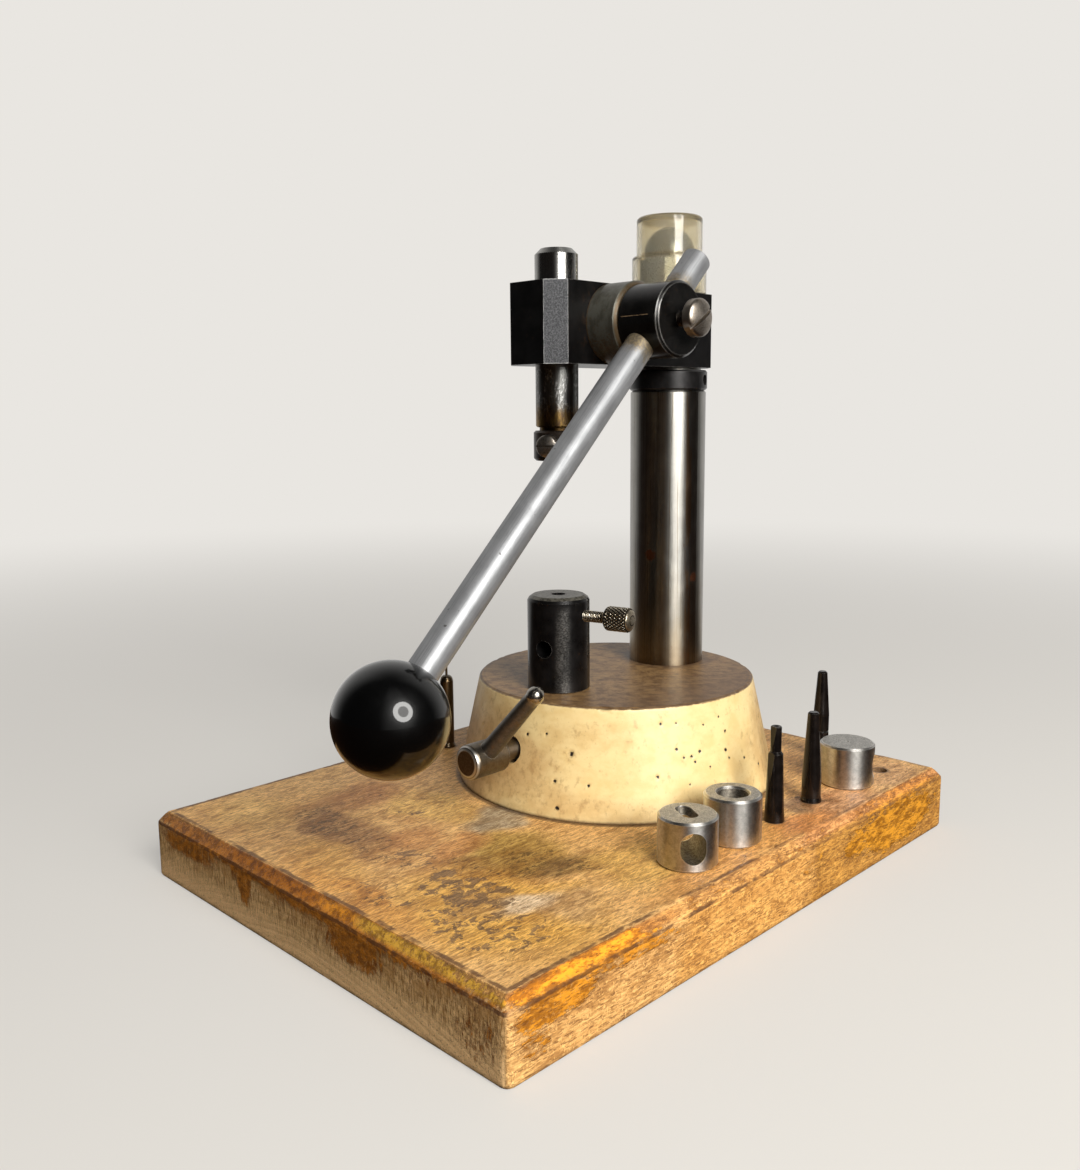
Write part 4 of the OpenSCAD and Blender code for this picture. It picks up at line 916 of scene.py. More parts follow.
def pedestal_material():
    gloss = {"Coat_Weight": 0.15, "Coat_Roughness": 0.25}
    m = Finish("cream_paint", IOR=1.5, Specular_IOR_Level=0.5, **gloss)
    z = m.z
    top = m.mul(m.step(m.along(UP), 0.6, 0.85), m.step(z, 72.6, 73.4))
    from_axis = m.distance((AXIS_X, PED_Y, 0), UP)
    slope = (PED_FOOT_R - PED_TOP_R) / PED_H
    inside = m.step(m.add(from_axis, m.mul(m.sub(z, BOARD_T), slope)), 71.0, 69.5)
    age = m.attr("age")
    blotch = m.noise((9, 9, 6), 4, 0.6, 3)
    fine = m.noise(0.9, 3, 0.65, 7)
    cream = m.mix(m.step(blotch, 0.35, 0.7), rgb(233, 208, 150), rgb(224, 194, 132))
    cream = m.over(cream, (214, 182, 122), m.patchy((0.45, 0.75), (26, 26, 14), 2, 0.5, 9), 0.35)
    aged = m.step(m.add(m.mul(age, 0.75), m.mul(blotch, 0.5)), 0.35, 1.05)
    cream = m.over(cream, (190, 150, 98), aged, 0.7)
    mottled = m.step(m.add(m.noise((3.2, 3.2, 4.2), 5, 0.72, 11), m.mul(age, 0.12)), 0.56, 0.76)
    cream = m.over(cream, (160, 122, 74), mottled, 0.55)
    # small rust freckles, denser where the paint is aged
    freckle = m.step(m.add(m.noise(1.3, 3, 0.75, 13), m.mul(age, 0.05)), 0.685, 0.73)
    cream = m.over(cream, (158, 112, 66), freckle, 0.5)
    freckle = m.patchy((0.72, 0.76), 0.7, 2, 0.7, 17)
    cream = m.over(cream, (120, 84, 54), freckle, 0.4)
    cream = m.over(cream, (214, 190, 130), fine, 0.12)
    # brown line where the paint meets the machined top, painted shade at the foot
    wobble = m.swing(1.3, 2.4, 4, 0.7, 23)
    rim = m.step(m.add(z, wobble), 72.9, 73.4)
    cream = m.over(cream, (98, 70, 46), rim, 0.75)
    foot = m.step(m.add(z, m.mul(wobble, 0.8)), 29.6, 28.4)
    cream = m.over(cream, (70, 50, 34), foot, 0.8)
    low_shade = m.step(m.add(z, m.mul(wobble, 3.0)), 33.0, 28.5)
    cream = m.over(cream, (150, 116, 76), low_shade, 0.28)
    # painted shade in the pinholes on the front and right
    holes = []
    for angle, height, size in PINHOLES[:PINHOLES_IN_PAINT]:
        near = m.distance(side_place(angle, height, 0.2))
        holes.append(m.calc("DIVIDE", near, size * 0.82))
    hole = m.step(m.ragged(m.chain("MINIMUM", holes), 1.5, (0.8, 0.8, 1.3), 2, 0.6, 45), 1.75, 1.5)
    cream = m.over(cream, (26, 16, 10), m.most(m.mul(m.attr("pit"), 0.45), hole))
    # machined top: brown rust with fine turning lines
    lines = m.calc("SINE", m.mul(m.ragged(from_axis, 2.0, 30, 2, 0.5, 29), 2 * math.pi / 0.8))
    rust = m.tones((152, 119, 76), (104, 74, 42), (0.38, 0.66), (6, 6, 6), 5, 0.68, 31)
    streaks = m.patchy((0.45, 0.7, 0.0, 0.55), (0.7, 16, 4), 4, 0.65, 33, turn=-38)
    rust = m.over(rust, (78, 56, 38), streaks)
    rust = m.over(rust, (136, 92, 52), m.patchy((0.58, 0.74, 0.0, 0.6), (7, 7, 7), 4, 0.65, 35))
    rust = m.over(rust, (64, 42, 30), m.patchy((0.6, 0.72), 1.0, 3, 0.7, 37), 0.6)
    rust = m.over(rust, (176, 150, 122), m.patchy((0.66, 0.74), 0.8, 2, 0.7, 39), 0.5)
    rust = m.over(rust, (88, 60, 40), m.step(m.x, 8.0, 56.0, 0.0, 0.5))
    # darker in a ring round the foot of the column
    near_column = m.step(m.distance((AXIS_X, COLUMN_Y, 0), UP), 24.0, 18.0)
    rust = m.over(rust, (64, 44, 32), near_column, 0.6)
    edge = m.step(m.add(from_axis, wobble), 61.0, 62.2)
    rust = m.over(rust, (66, 48, 36), edge, 0.6)
    colour = m.mix(top, cream, rust)
    colour = m.over(colour, (70, 54, 42), inside)
    colour = m.over(colour, rust, m.calc("MULTIPLY", m.mul(inside, top), 1.0, clamp=True))
    rough = m.between(top, m.add(0.36, m.mul(blotch, 0.2)), 0.5)
    metal = m.mul(top, 0.12)
    relief = m.add(m.mul(m.noise(2.6, 3, 0.6, 43), 0.6), m.mul(fine, 0.25))
    relief = m.add(m.mul(relief, m.sub(1.0, top)), m.mul(lines, 0.12, top))
    normal = m.bump(relief, 0.10)
    return m.set(Base_Color=colour, Roughness=rough, Metallic=metal, Normal=normal)


pedestal = build_pedestal()
wear(pedestal_material(), pedestal)
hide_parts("pedestal")
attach(pedestal, "stand")


# Metals


def polished(
    name, axis, colour=(168, 166, 160), rough=0.3, anisotropic=0.85, stains=None, metallic=1.0
):
    """Ground and polished steel bar, its gloss drawn out along an axis. stains(m, base, rough)
    gives a changed colour and roughness, as extra() does for the metals below."""
    m = Finish(name, Metallic=metallic, Anisotropic=anisotropic)
    m.grain_axis(axis)
    base = m.tones(colour, shade(colour, 0.93), (0.35, 0.7), 9, 3, 0.6, 3)
    pits = m.patchy((0.7, 0.76), 0.8, 2, 0.7, 9)
    base = m.over(base, (74, 62, 50), pits, 0.5)
    lines = m.noise(tuple(0.35 + 30 * abs(a) for a in axis), 3, 0.6, 15)
    base = m.over(base, shade(colour, 0.72), m.step(lines, 0.45, 0.7, 0.0, 0.45))
    smear = m.patchy((0.5, 0.8), (5, 5, 12), 4, 0.6, 13)
    roughness = m.add(rough, m.mul(smear, 0.12))
    if stains is not None:
        base, roughness = stains(m, base, roughness)
    normal = m.bump(m.noise(1.6, 2, 0.5, 21), 0.006)
    return m.set(Base_Color=base, Roughness=roughness, Normal=normal)


def column_stains(m, base, rough):
    # warmer and darker towards the foot; a painted warm reflection in one upright strip; two rust
    # smears; freckles on the left
    low = m.step(m.ragged(m.z, 60.0, (7, 7, 20), 4, 0.6, 31), 165.0, 95.0)
    base = m.over(base, (150, 132, 100), low, 0.7)
    thin = m.patchy((0.56, 0.66, 0.0, 0.6), (0.5, 0.5, 70), 3, 0.6, 35)
    base = m.over(base, (104, 88, 66), thin)
    # painted reflection: a warm upright strip on the column's side towards +X
    warm_reflection = m.step(m.distance((12.7, 68.2, 0), UP), 2.2, 0.9)
    warm_reflection = m.mul(warm_reflection, m.patchy((0.40, 0.56), (3, 3, 26), 4, 0.65, 39))
    base = m.over(base, (156, 116, 72), warm_reflection, 0.7)
    foot = m.step(m.ragged(m.z, 14.0, 5, 4, 0.6, 33), 92.0, 78.0)
    base = m.over(base, (98, 76, 54), foot, 0.6)
    for place, size in (((-0.3, 56.4, 126.3), 4.6), ((13.4, 71.4, 115.6), 4.4)):
        near = m.ragged(m.distance(place), 5.0, (2.5, 2.5, 5), 4, 0.7, 37)
        smear = m.step(near, size + 1.2, size - 0.4)
        base = m.over(base, (150, 82, 42), smear, 0.85)
        rough = m.add(rough, m.mul(smear, 0.25))
    rusty = m.step(m.add(m.noise((3, 3, 6), 5, 0.7, 41), m.mul(low, 0.05)), 0.66, 0.74)
    base = m.over(base, (118, 82, 50), rusty, 0.5)
    return base, rough


def ram_stains(m, base, rough):
    # below the head the ram is dull and rubbed, with a golden oil stain at its lower end
    below = m.step(m.z, HEAD_Z + 2, HEAD_Z - 2)
    dull = m.tones((70, 70, 68), (112, 112, 110), (0.35, 0.65), (0.5, 0.5, 12), 3, 0.6, 27)
    base = m.over(base, dull, below, 0.85)
    rub = m.mul(m.patchy((0.5, 0.6), (0.8, 0.8, 1.6), 4, 0.72, 39), m.band(m.z, 193.0, 209.0, 3.0))
    rub = m.mul(rub, m.patchy((0.4, 0.55), (4, 4, 9), 2, 0.5, 41))
    base = m.over(base, (206, 206, 204), rub, 0.75)
    low = m.step(m.ragged(m.z, 12.0, (3, 3, 9), 4, 0.65, 31), 204.0, 197.0)
    oily = m.tones((148, 116, 52), (88, 62, 28), (0.4, 0.62), (2, 2, 5), 4, 0.7, 33)
    base = m.over(base, oily, low, 0.8)
    dark = m.step(m.ragged(m.z, 6.0, (3, 3, 5), 4, 0.65, 35), 191.0, 187.5)
    base = m.over(base, (52, 34, 20), dark, 0.85)
    rough = m.add(rough, m.mul(below, 0.14))
    return base, m.add(rough, m.mul(rub, 0.12))


def rod_stains(m, base, rough):
    # brass-coloured stain at the hub, small dark pits along the rod
    near_hub = m.ragged(m.distance((ROD_X, SHAFT_Y, SHAFT_Z)), 12.0, 4, 4, 0.7, 31)
    stain = m.tones((140, 118, 70), (92, 74, 38), (0.4, 0.6), 1.0, 3, 0.7, 33)
    base = m.over(base, stain, m.step(near_hub, 31.0, 24.0), 0.75)
    pits = m.patchy((0.73, 0.76), (2.4, 2.4, 2.4), 2, 0.6, 35)
    base = m.over(base, (60, 54, 50), pits, 0.7)
    rough = m.ragged(rough, 0.08, 14, 2, 0.5, 37)
    return base, rough


wear(polished("polished_column", UP, rough=0.30, stains=column_stains), "column")
wear(polished("polished_ram", UP, (178, 177, 173), 0.27, stains=ram_stains), "ram")
wear(polished("satin_rod", ALONG_ROD, (158, 159, 161), 0.42, 0.3, rod_stains, 0.62), "lever_rod")


def black_oxide(name, axis=None, colour=(22, 21, 21), rough=0.3, worn=0.8, extra=None, edge=0.3):
    """Oil-blackened steel, rubbed bright on its edges."""
    oil = {"Coat_Weight": 0.22, "Coat_Roughness": 0.16}
    stretch = 0.5 if axis else 0.0
    m = Finish(name, Metallic=0.5, IOR=1.45, Specular_IOR_Level=0.4, Anisotropic=stretch, **oil)
    if axis:
        m.grain_axis(axis)
    cloud = m.noise(6, 4, 0.6, 5)
    base = m.mix(m.step(cloud, 0.35, 0.7), rgb(*colour), rgb(*shade(colour, 1.5, 4)))
    brown = m.patchy((0.6, 0.74), 2.6, 4, 0.7, 11)
    base = m.over(base, (70, 50, 34), brown, 0.4)
    worn_edge = m.mul(m.edges(edge), m.patchy((0.34, 0.52), 2.2, 4, 0.65, 17))
    worn_edge = m.mul(worn_edge, worn)
    base = m.over(base, (150, 146, 140), worn_edge)
    roughness = m.add(rough, m.mul(cloud, 0.14))
    if extra is not None:
        base, roughness = extra(m, base, roughness)
    normal = m.bump(m.noise(0.7, 3, 0.6, 23), 0.012)
    return m.set(Base_Color=base, Roughness=roughness, Normal=normal)


def head_wear(m, base, rough):
    # the four upright chamfers are rubbed down to speckled grey steel with a bright outline
    across = m.mul(m.absolute(m.along(ACROSS)), m.absolute(m.along(BACK)))
    face = m.step(across, 0.40, 0.46)
    front = m.step(m.y, 30.0, 20.0)
    speck = m.noise(0.55, 3, 0.7, 31)
    grey = m.mix(m.step(speck, 0.42, 0.62), rgb(54, 55, 57), rgb(92, 92, 94))
    grey = m.over(grey, (88, 88, 90), m.patchy((0.5, 0.8, 0.0, 0.6), 5, 3, 0.6, 35))
    rim = m.mul(m.edges(0.55, 0.004, 0.04), m.patchy((0.36, 0.5), 1.6, 4, 0.7, 37))
    grey = m.over(grey, (190, 190, 188), rim, 0.9)
    amount = m.mul(face, m.between(front, 0.45, 0.95))
    base = m.over(base, grey, amount)
    rough = m.between(amount, rough, 0.46)
    rusty = m.patchy((0.5, 0.7), (3, 3, 5), 4, 0.7, 41)
    rusty = m.mul(rusty, m.step(m.distance((12.5, SHAFT_Y, SHAFT_Z)), 24.0, 16.0))
    base = m.over(base, (78, 56, 36), m.mul(rusty, m.mul(m.sub(1.0, face), 0.35)))
    return base, rough


def hub_wear(m, base, rough):
    # one thin scratch along the top of the hub, and a bright rim at its end: edge wear with a
    # painted highlight, strongest towards -Y
    off = m.absolute(m.sub(m.z, m.add(229.4, m.mul(m.x, 0.012))))
    scratch = m.mul(m.step(off, 0.22, 0.08), m.band(m.x, 30.0, 43.0, 0.6))
    broken = m.patchy((0.4, 0.5), (2.2, 1, 1), 2, 0.6, 43)
    scratch = m.mul(scratch, m.mul(m.step(m.y, 6.0, 3.0), broken))
    base = m.over(base, (176, 146, 112), scratch, 0.8)
    # painted highlight on the rim of the end, over its edge wear, fading towards +Y
    rim = m.mul(m.edges(0.9, 0.02, 0.12), m.step(m.x, 44.0, 46.0))
    rim = m.mul(rim, m.step(m.sub(m.y, m.mul(m.noise(3, 3, 0.6, 45), 9.0)), 6.0, -4.0, 0.15, 1.0))
    base = m.over(base, (196, 194, 190), rim, 0.85)
    return base, rough


def sleeve_wear(m, base, rough):
    # the ring is browned all over, in patches, most at its lower side and its ends
    grey = m.tones((92, 91, 82), (72, 69, 60), (0.4, 0.66), (3.5, 6, 6), 4, 0.65, 45)
    lower = m.step(m.z, 234.0, 214.0)
    rusty = m.step(m.add(m.noise(0.9, 4, 0.7, 47), m.mul(lower, 0.12)), 0.58, 0.70)
    grey = m.over(grey, (84, 60, 34), rusty, 0.7)
    ends = m.most(m.step(m.x, 26.6, 27.2), m.step(m.x, 13.4, 12.8))
    grey = m.over(grey, (84, 60, 28), m.mul(ends, m.patchy((0.3, 0.5), 1.2, 3, 0.7, 49)), 0.7)
    return grey, 0.42


wear(black_oxide("black_head", colour=(12, 11, 11), extra=head_wear, rough=0.28), "head_block")
wear(black_oxide("black_hub", ACROSS, (17, 16, 15), 0.16, 0.5, hub_wear), "lever_hub")
wear(black_oxide("brown_sleeve", ACROSS, (70, 66, 56), 0.45, 0.4, sleeve_wear), "bearing_sleeve")
wear(black_oxide("black_collar", UP, (24, 23, 23), 0.3, 0.4), "support_collar")
wear(black_oxide("brown_collar", UP, (38, 30, 24), 0.32, 0.6), "punch_collar")
wear(black_oxide("black_punch", UP, (21, 17, 15), 0.14, 0.75, edge=0.25),
     "punch_hollow", "punch_taper", "punch_long_taper")


def anvil_wear(m, base, rough):
    # the top face and its bevel are rubbed grey; the bore is brown
    top = m.step(m.along(UP), 0.5, 0.9)
    top = m.mul(top, m.step(m.z, 112.0, 112.6))
    grey = m.tones((104, 100, 90), (58, 54, 46), (0.42, 0.62), 1.4, 4, 0.7, 51)
    near = m.step(m.distance((AXIS_X, RAM_Y, 0), UP), 4.6, 3.2)
    grey = m.over(grey, (60, 48, 38), near)
    # painted highlight: a lighter, speckled upright strip down one side
    highlight_strip = m.mul(m.step(m.distance((6.6, -9.9, 0), UP), 4.2, 0.8), m.step(m.z, 112.5, 108.0))
    highlight_strip = m.mul(highlight_strip, m.patchy((0.42, 0.6, 0.2, 1.0), (0.9, 0.9, 0.5), 4, 0.75, 53))
    highlight_strip = m.mul(highlight_strip, m.patchy((0.36, 0.6, 0.35, 1.0), (3, 3, 9), 3, 0.6, 55))
    base = m.over(base, (122, 120, 116), highlight_strip, 0.62)
    return m.over(base, grey, top, 0.9), m.between(top, rough, 0.45)


wear(black_oxide("black_anvil", UP, (17, 16, 16), 0.22, 0.6, anvil_wear), "anvil_holder")


def machined(
    name, axis, colour=(160, 158, 152), rough=0.4, anisotropic=0.6, brown=0.35, extra=None
):
    """Turned steel with fine lines, light wear and brown tarnish in the low spots."""
    m = Finish(name, Metallic=1.0, Anisotropic=anisotropic)
    m.grain_axis(axis)
    flat_end = m.step(m.absolute(m.along(axis)), 0.8, 0.95)
    base = m.tones(colour, shade(colour, 0.88), (0.38, 0.66), 2.2, 4, 0.65, 3)
    speck = m.patchy((0.48, 0.62), 0.6, 4, 0.75, 7)
    base = m.over(base, shade(colour, 0.56), m.mul(speck, m.between(flat_end, 0.25, 0.75)))
    tarnish = m.patchy((0.52, 0.76), (4, 4, 6), 4, 0.65, 11)
    base = m.over(base, (132, 104, 66), m.mul(tarnish, brown))
    bright = m.edges(0.3)
    base = m.over(base, (214, 212, 208), bright, 0.8)
    roughness = m.add(m.between(flat_end, rough, rough + 0.12), m.mul(speck, 0.1))
    if extra is not None:
        base, roughness = extra(m, base, roughness)
    normal = m.bump(m.ragged(m.noise(0.5, 3, 0.6, 17), 0.5, 3, 2, 0.5, 19), 0.02)
    return m.set(Base_Color=base, Roughness=roughness, Normal=normal)


# The dies on the board: x, y, radius
DIES = [(85.5, -26.6, 11.3), (84.8, 3.0, 11.3), (84.8, 91.0, 11.8)]


def die_bores(m, base, rough):
    # the walls of the holes are dull, and darkened as painted shade
    inside = [m.step(m.distance((x, y, 0), UP), r - 0.25, r - 0.45) for x, y, r in DIES]
    wall = m.mul(m.most(*inside), m.step(m.z, 46.6, 46.2))
    dull = m.tones((150, 142, 126), (100, 90, 76), (0.4, 0.6), 0.8, 3, 0.6, 61)
    base = m.over(base, dull, wall, 0.85)
    base = m.over(base, (236, 234, 230), m.edges(0.55, 0.004, 0.05), 0.85)
    return base, m.add(rough, m.mul(wall, 0.3))


def clamp_rings(m, base, rough):
    # two bright rings round a brown end face
    line = m.distance((AXIS_X, 0, CLAMP_Z), BACK)
    end = m.step(m.y, -54.6, -55.4)
    bright = m.mul(end, m.step(line, 4.9, 5.4))
    groove = m.mul(end, m.band(line, 6.1, 6.4, 0.15))
    face = m.mul(end, m.step(line, 5.3, 4.8))
    brown = m.tones((74, 54, 32), (98, 78, 54), (0.4, 0.65), 0.8, 3, 0.7, 5)
    base = m.over(base, brown, face, 0.8)
    base = m.over(base, (204, 200, 192), bright, 0.9)
    base = m.over(base, (90, 80, 66), groove, 0.6)
    return base, m.between(bright, rough, 0.4)


def handle_tip(m, base, rough):
    # the handle's end is rubbed bright
    x, _, z = (HANDLE_LENGTH * along for along in ALONG_HANDLE)
    tip = m.step(m.distance((AXIS_X + x, HANDLE_Y, CLAMP_Z + z)), 9.0, 4.0)
    return m.over(base, (188, 182, 172), tip, 0.7), m.between(tip, rough, 0.22)


wear(machined("turned_dies", UP, (206, 203, 197), 0.34, 0.7, 0.12, die_bores),
     "die_cross_hole", "die_open_bore", "die_small_hole")
wear(machined("dull_needle", UP, (104, 90, 70), 0.28, 0.6, 0.5), "punch_needle")
wear(machined("turned_stem", UP, (150, 148, 142)),
     "anvil_stem", "pedestal_washers", "column_washer", "thrust_washer", "top_washer",
     "pinion_shaft", "hub_pin", "end_washer")
wear(machined("dome_nut_steel", UP, (104, 108, 108), 0.22, 0.3, 0.1), "dome_nut")
wear(machined("dull_clamp", BACK, (116, 106, 92), 0.34, 0.3, 0.6, clamp_rings), "clamp_spindle")
wear(machined("dull_handle", ALONG_HANDLE, (110, 104, 95), 0.42, 0.5, 0.4, handle_tip),
     "clamp_handle")
wear(machined("black_fasteners", UP, (54, 52, 50), 0.42, 0.0, 0.3),
     "pedestal_screws", "column_bolt", "collar_set_screw", "drag_screw", "end_screw")
wear(machined("brass", ACROSS, (196, 162, 88), 0.36, 0.3, 0.2),
     "left_bush", "drag_plug", "knob_insert", "clamp_pad")


# Screws with heads


def thread_shape(pitch, depth, core):
    """A shape for turned(): a thread cut into all that is wider than its core."""
    def shape(radius, turn, height):
        phase = (height / pitch - turn / (2 * math.pi)) % 1.0
        cut_in = depth * (0.5 - 0.5 * np.cos(2 * math.pi * phase)) ** 0.7
        return np.where(radius > core, radius - cut_in, radius)
    return shape


def domed(radius, base, rise, step=6):
    """The profile of a domed end, from its rim at a height to its middle."""
    angles = [math.radians(a) for a in range(0, 90, step)]
    arc = [(radius * math.cos(a), base + rise * math.sin(a)) for a in angles]
    return arc + [(0, base + rise)]


def heading(degrees):
    """The level direction at an angle from +X."""
    return (math.cos(math.radians(degrees)), math.sin(math.radians(degrees)), 0)


def nickel(name, axis, colour=(172, 162, 150)):
    """The plated screws' metal."""
    return machined(name, axis, colour, 0.3, 0.3, 0.45)


def build_thumb_screw():
    """A threaded shank, a knurled head and a low dome on it."""
    place = placed(AXIS_X, RAM_Y, THUMB_Z, ry=90, rz=THUMB_TURN)
    axis = heading(THUMB_TURN)
    start, neck, head, end, radius, cap_r = 3.35, 22.5, 24.1, 34.7, 5.25, 4.45
    starts, depth, bevel = 22, 0.5, 0.6
    threaded = thread_shape(0.8, 0.42, 2.3)

    def thread(r, turn, height):
        return np.where(height < neck - 0.3, threaded(r, turn, height), r)

    def diamonds(r, turn, height):
        u = starts * turn / (2 * math.pi)
        climb = (height - head) / 2.2
        a = np.abs((u + climb) % 1.0 - 0.5) * 2
        b = np.abs((u - climb) % 1.0 - 0.5) * 2
        groove = np.maximum(ease(1 - a, 0.35, 1.0), ease(1 - b, 0.35, 1.0))
        return np.where(r > radius - 0.3, r - depth * groove, r)

    profile = [(0, start), (2.2, start), (2.5, start + 0.4), (2.5, neck - 0.6), (2.5, neck),
               (cap_r, head), (0, head)]
    shank = turned("thumb_shank", stepped(profile, 0.12), place, 48, 60, thread)
    profile = [(cap_r, head), (radius - bevel, head), (radius, head + bevel),
               (radius, end - bevel), (radius - bevel, end), (cap_r, end)]
    knurl = turned("thumb_knurl", stepped(profile, 0.14), place, starts * 9, 25, diamonds)
    profile = [(cap_r, end - 0.4)] + domed(cap_r, end, 1.15, 10)
    cap = turned("thumb_cap", profile, place, 96, 50)

    def grooves(m, base, rough):
        # dirt and painted shade lie in the grooves of thread and knurl
        line = m.distance((AXIS_X, RAM_Y, THUMB_Z), axis)
        deep = m.most(m.band(line, 4.6, 5.0, 0.12), m.band(line, 1.9, 2.25, 0.1))
        return m.over(base, (30, 24, 16), deep, 0.95), m.between(deep, rough, 0.7)

    material = machined("knurled_steel", axis, (182, 170, 148), 0.3, 0.2, 0.4, grooves)
    for part in (shank, knurl, cap):
        wear(material, part)
        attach(part, "thumb_screw")
    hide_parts("thumb_screw")


def build_lock_screw():
    """A threaded shank and a wide domed head with a slot."""
    head_x, thickness, dome, radius, slot_turn = HUB_END + 5.6, 3.5, 2.2, 7.4, 33
    place = placed(0, SHAFT_Y, SHAFT_Z, ry=90)
    profile = [(0, 41.8), (2.6, 41.8), (3, 42.2), (3, head_x + 1), (0, head_x + 1)]
    thread = thread_shape(1.0, 0.35, 2.7)
    shank = turned("lock_shank", stepped(profile, 0.12), place, 48, 60, thread)
    body = [(0, head_x), (radius - 0.5, head_x), (radius, head_x + 0.5)]
    body += domed(radius, head_x + thickness, dome)
    head = turned("lock_head", stepped(body, 0.6), place, 128, 30)
    slot_place = placed(head_x + thickness + dome - 2.4, SHAFT_Y, SHAFT_Z, ry=90)
    slot_place = slot_place @ Matrix.Rotation(math.radians(slot_turn), 4, "Z")
    cut(head, [block("slot", (-0.8, -9, 0), (0.8, 9, 6), slot_place)])
    smooth(head, 30)
    steel = machined("dark_thread", ACROSS, (70, 62, 54), 0.4, 0.2, 0.5)
    for part, material in ((shank, steel), (head, nickel("nickel_lock", ACROSS))):
        wear(material, part)
        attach(part, "lock_screw")
    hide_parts("lever_lock_screw")


def build_punch_screw():
    """A short shank and a low domed head with a slot, in one piece."""
    face, thickness, dome, radius = 9.1, 3.2, 1.4, 4.6
    place = placed(AXIS_X, RAM_Y, PUNCH_SCREW_Z, ry=90, rz=PUNCH_SCREW_TURN)
    profile = [(0, 3.35), (2.0, 3.35), (2.45, 3.8), (2.45, face), (radius - 0.3, face),
               (radius, face + 0.3)]
    profile += domed(radius, face + thickness, dome)
    head = turned("punch_screw_head", stepped(profile, 0.5), place, 96, 30)
    slot_place = place @ Matrix.Translation((0, 0, face + thickness + dome - 1.3))
    cut(head, [block("slot", (-0.5, -9, 0), (0.5, 9, 4), slot_place)])
    smooth(head, 30)
    wear(nickel("nickel_punch_screw", heading(PUNCH_SCREW_TURN), (178, 170, 160)), head)
    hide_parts("punch_clamp_screw")
    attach(head, "punch_screw")


build_thumb_screw()
build_lock_screw()
build_punch_screw()


# Knob and cap


def build_knob():
    """The ball with a flat round the rod, a touch smaller than its solid."""
    radius, flat_r, hole_r = KNOB_R - 0.02, 6.8, 6.03
    flat = math.sqrt(radius ** 2 - flat_r ** 2)
    start = math.degrees(math.asin(flat_r / radius))
    turns = [math.radians(a) for a in np.linspace(start, 180, 110)]
    arc = [(radius * math.sin(a), -radius * math.cos(a)) for a in turns[:-1]]
    profile = [(0, -flat), (6.1, -flat), (flat_r - 0.2, -flat)] + arc + [(0, radius)]
    knob = turned("knob", profile, LEVER @ Matrix.Translation((0, 0, KNOB_REACH)), 192, 40)
    hole_place = LEVER @ Matrix.Translation((0, 0, KNOB_REACH - flat - 1))
    cut(knob, [rod("c", hole_r, 17, hole_place, 96)])
    smooth(knob, 40)
    gloss = {"Coat_Weight": 1.0, "Coat_Roughness": 0.03, "Coat_IOR": 1.4}
    m = Finish("black_phenolic", IOR=1.5, Specular_IOR_Level=0.12, **gloss)
    dust = m.patchy((0.74, 0.80), 0.5, 2, 0.7, 9)
    base = m.mix(m.mul(dust, 0.2), rgb(3, 3, 3), rgb(60, 56, 50))
    fleck = m.distance((ROD_X + 14.0, SHAFT_Y - 146.0, 84.2))
    base = m.over(base, (120, 84, 50), m.step(fleck, 1.1, 0.5, 0.0, 0.6))
    smudge = m.patchy((0.45, 0.7), (9, 9, 9), 4, 0.6, 15, 0.4)
    rough = m.add(0.30, m.mul(smudge, 0.06))
    normal = m.bump(m.noise(18, 2, 0.5, 21), 0.02)
    wear(m.set(Base_Color=base, Roughness=rough, Normal=normal), knob)
    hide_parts("ball_knob")
    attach(knob, "lever")


def build_cap():
    """The translucent cap, a hollow shell with a step, in yellowed plastic."""
    r, top_r, bore, top_bore, step, height = 17.0, 15.0, 14.8, 12.8, 17, 34.5
    roof, inner_step = height - 2.2, 16.1
    outer = [(bore, 0), (r - 0.3, 0), (r, 0.3), (r, step - 0.6), (r - 0.6, step),
             (top_r + 0.2, step), (top_r, step + 0.3), (top_r, height - 1), (top_r - 1, height),
             (0, height)]
    inner = [(0, roof), (top_bore, roof), (top_bore, inner_step), (bore, inner_step), (bore, 0)]
    profile = stepped(rounded(outer, 0.5), 2.0) + stepped(rounded(inner, 0.5), 2.0)
    cap = turned("cap", profile, placed(AXIS_X, COLUMN_Y, CAP_Z), 128, 40)
    gloss = {"Coat_Weight": 0.6, "Coat_Roughness": 0.08, "Coat_IOR": 1.5}
    m = Finish("yellowed_cap", IOR=1.18, Specular_IOR_Level=0.6, Transmission_Weight=0.9, **gloss)
    cloud = m.noise((6, 6, 9), 4, 0.6, 3)
    base = m.mix(m.step(cloud, 0.35, 0.7), rgb(236, 231, 214), rgb(226, 216, 190))
    # browner at the step and at the top
    bands = m.most(m.band(m.z, 261.6, 262.9, 0.8), m.band(m.z, 277.4, 279.8, 1.0))
    base = m.over(base, (190, 170, 120), bands, 0.6)
    base = m.over(base, (150, 128, 86), m.patchy((0.6, 0.74), 0.8, 3, 0.7, 9), 0.25)
    rough = m.add(0.14, m.mul(cloud, 0.14))
    normal = m.bump(m.noise((3, 3, 8), 3, 0.6, 15), 0.05)
    wear(m.set(Base_Color=base, Roughness=rough, Normal=normal), cap)
    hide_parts("column_cap")
    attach(cap, "cap")


build_knob()
build_cap()


# Studio


def only_for(obj, *rays):
    """Leaves an object visible for the named kinds of rays alone."""
    for ray in ("camera", "diffuse", "glossy", "transmission", "shadow", "volume_scatter"):
        setattr(obj, "visible_" + ray, ray in rays)


def surround(name, points, material, rays, place=None):
    """A flat piece of the surroundings, which isn't part of the object."""
    obj = piece(name, points, [tuple(range(len(points)))], place)
    obj.data.materials.append(material)
    only_for(obj, *rays)
    return obj


def glowing(name, colour, strength=1.0):
    """A plain glowing material, for the surroundings that mirror in the metal."""
    material = bpy.data.materials.new(name)
    n = Nodes(material)
    light = n.node("Emission", {0: colour, 1: strength})
    n.node("OutputMaterial", {0: light.outputs[0]})
    return material


BACKGROUND = rgb(233, 230, 225)


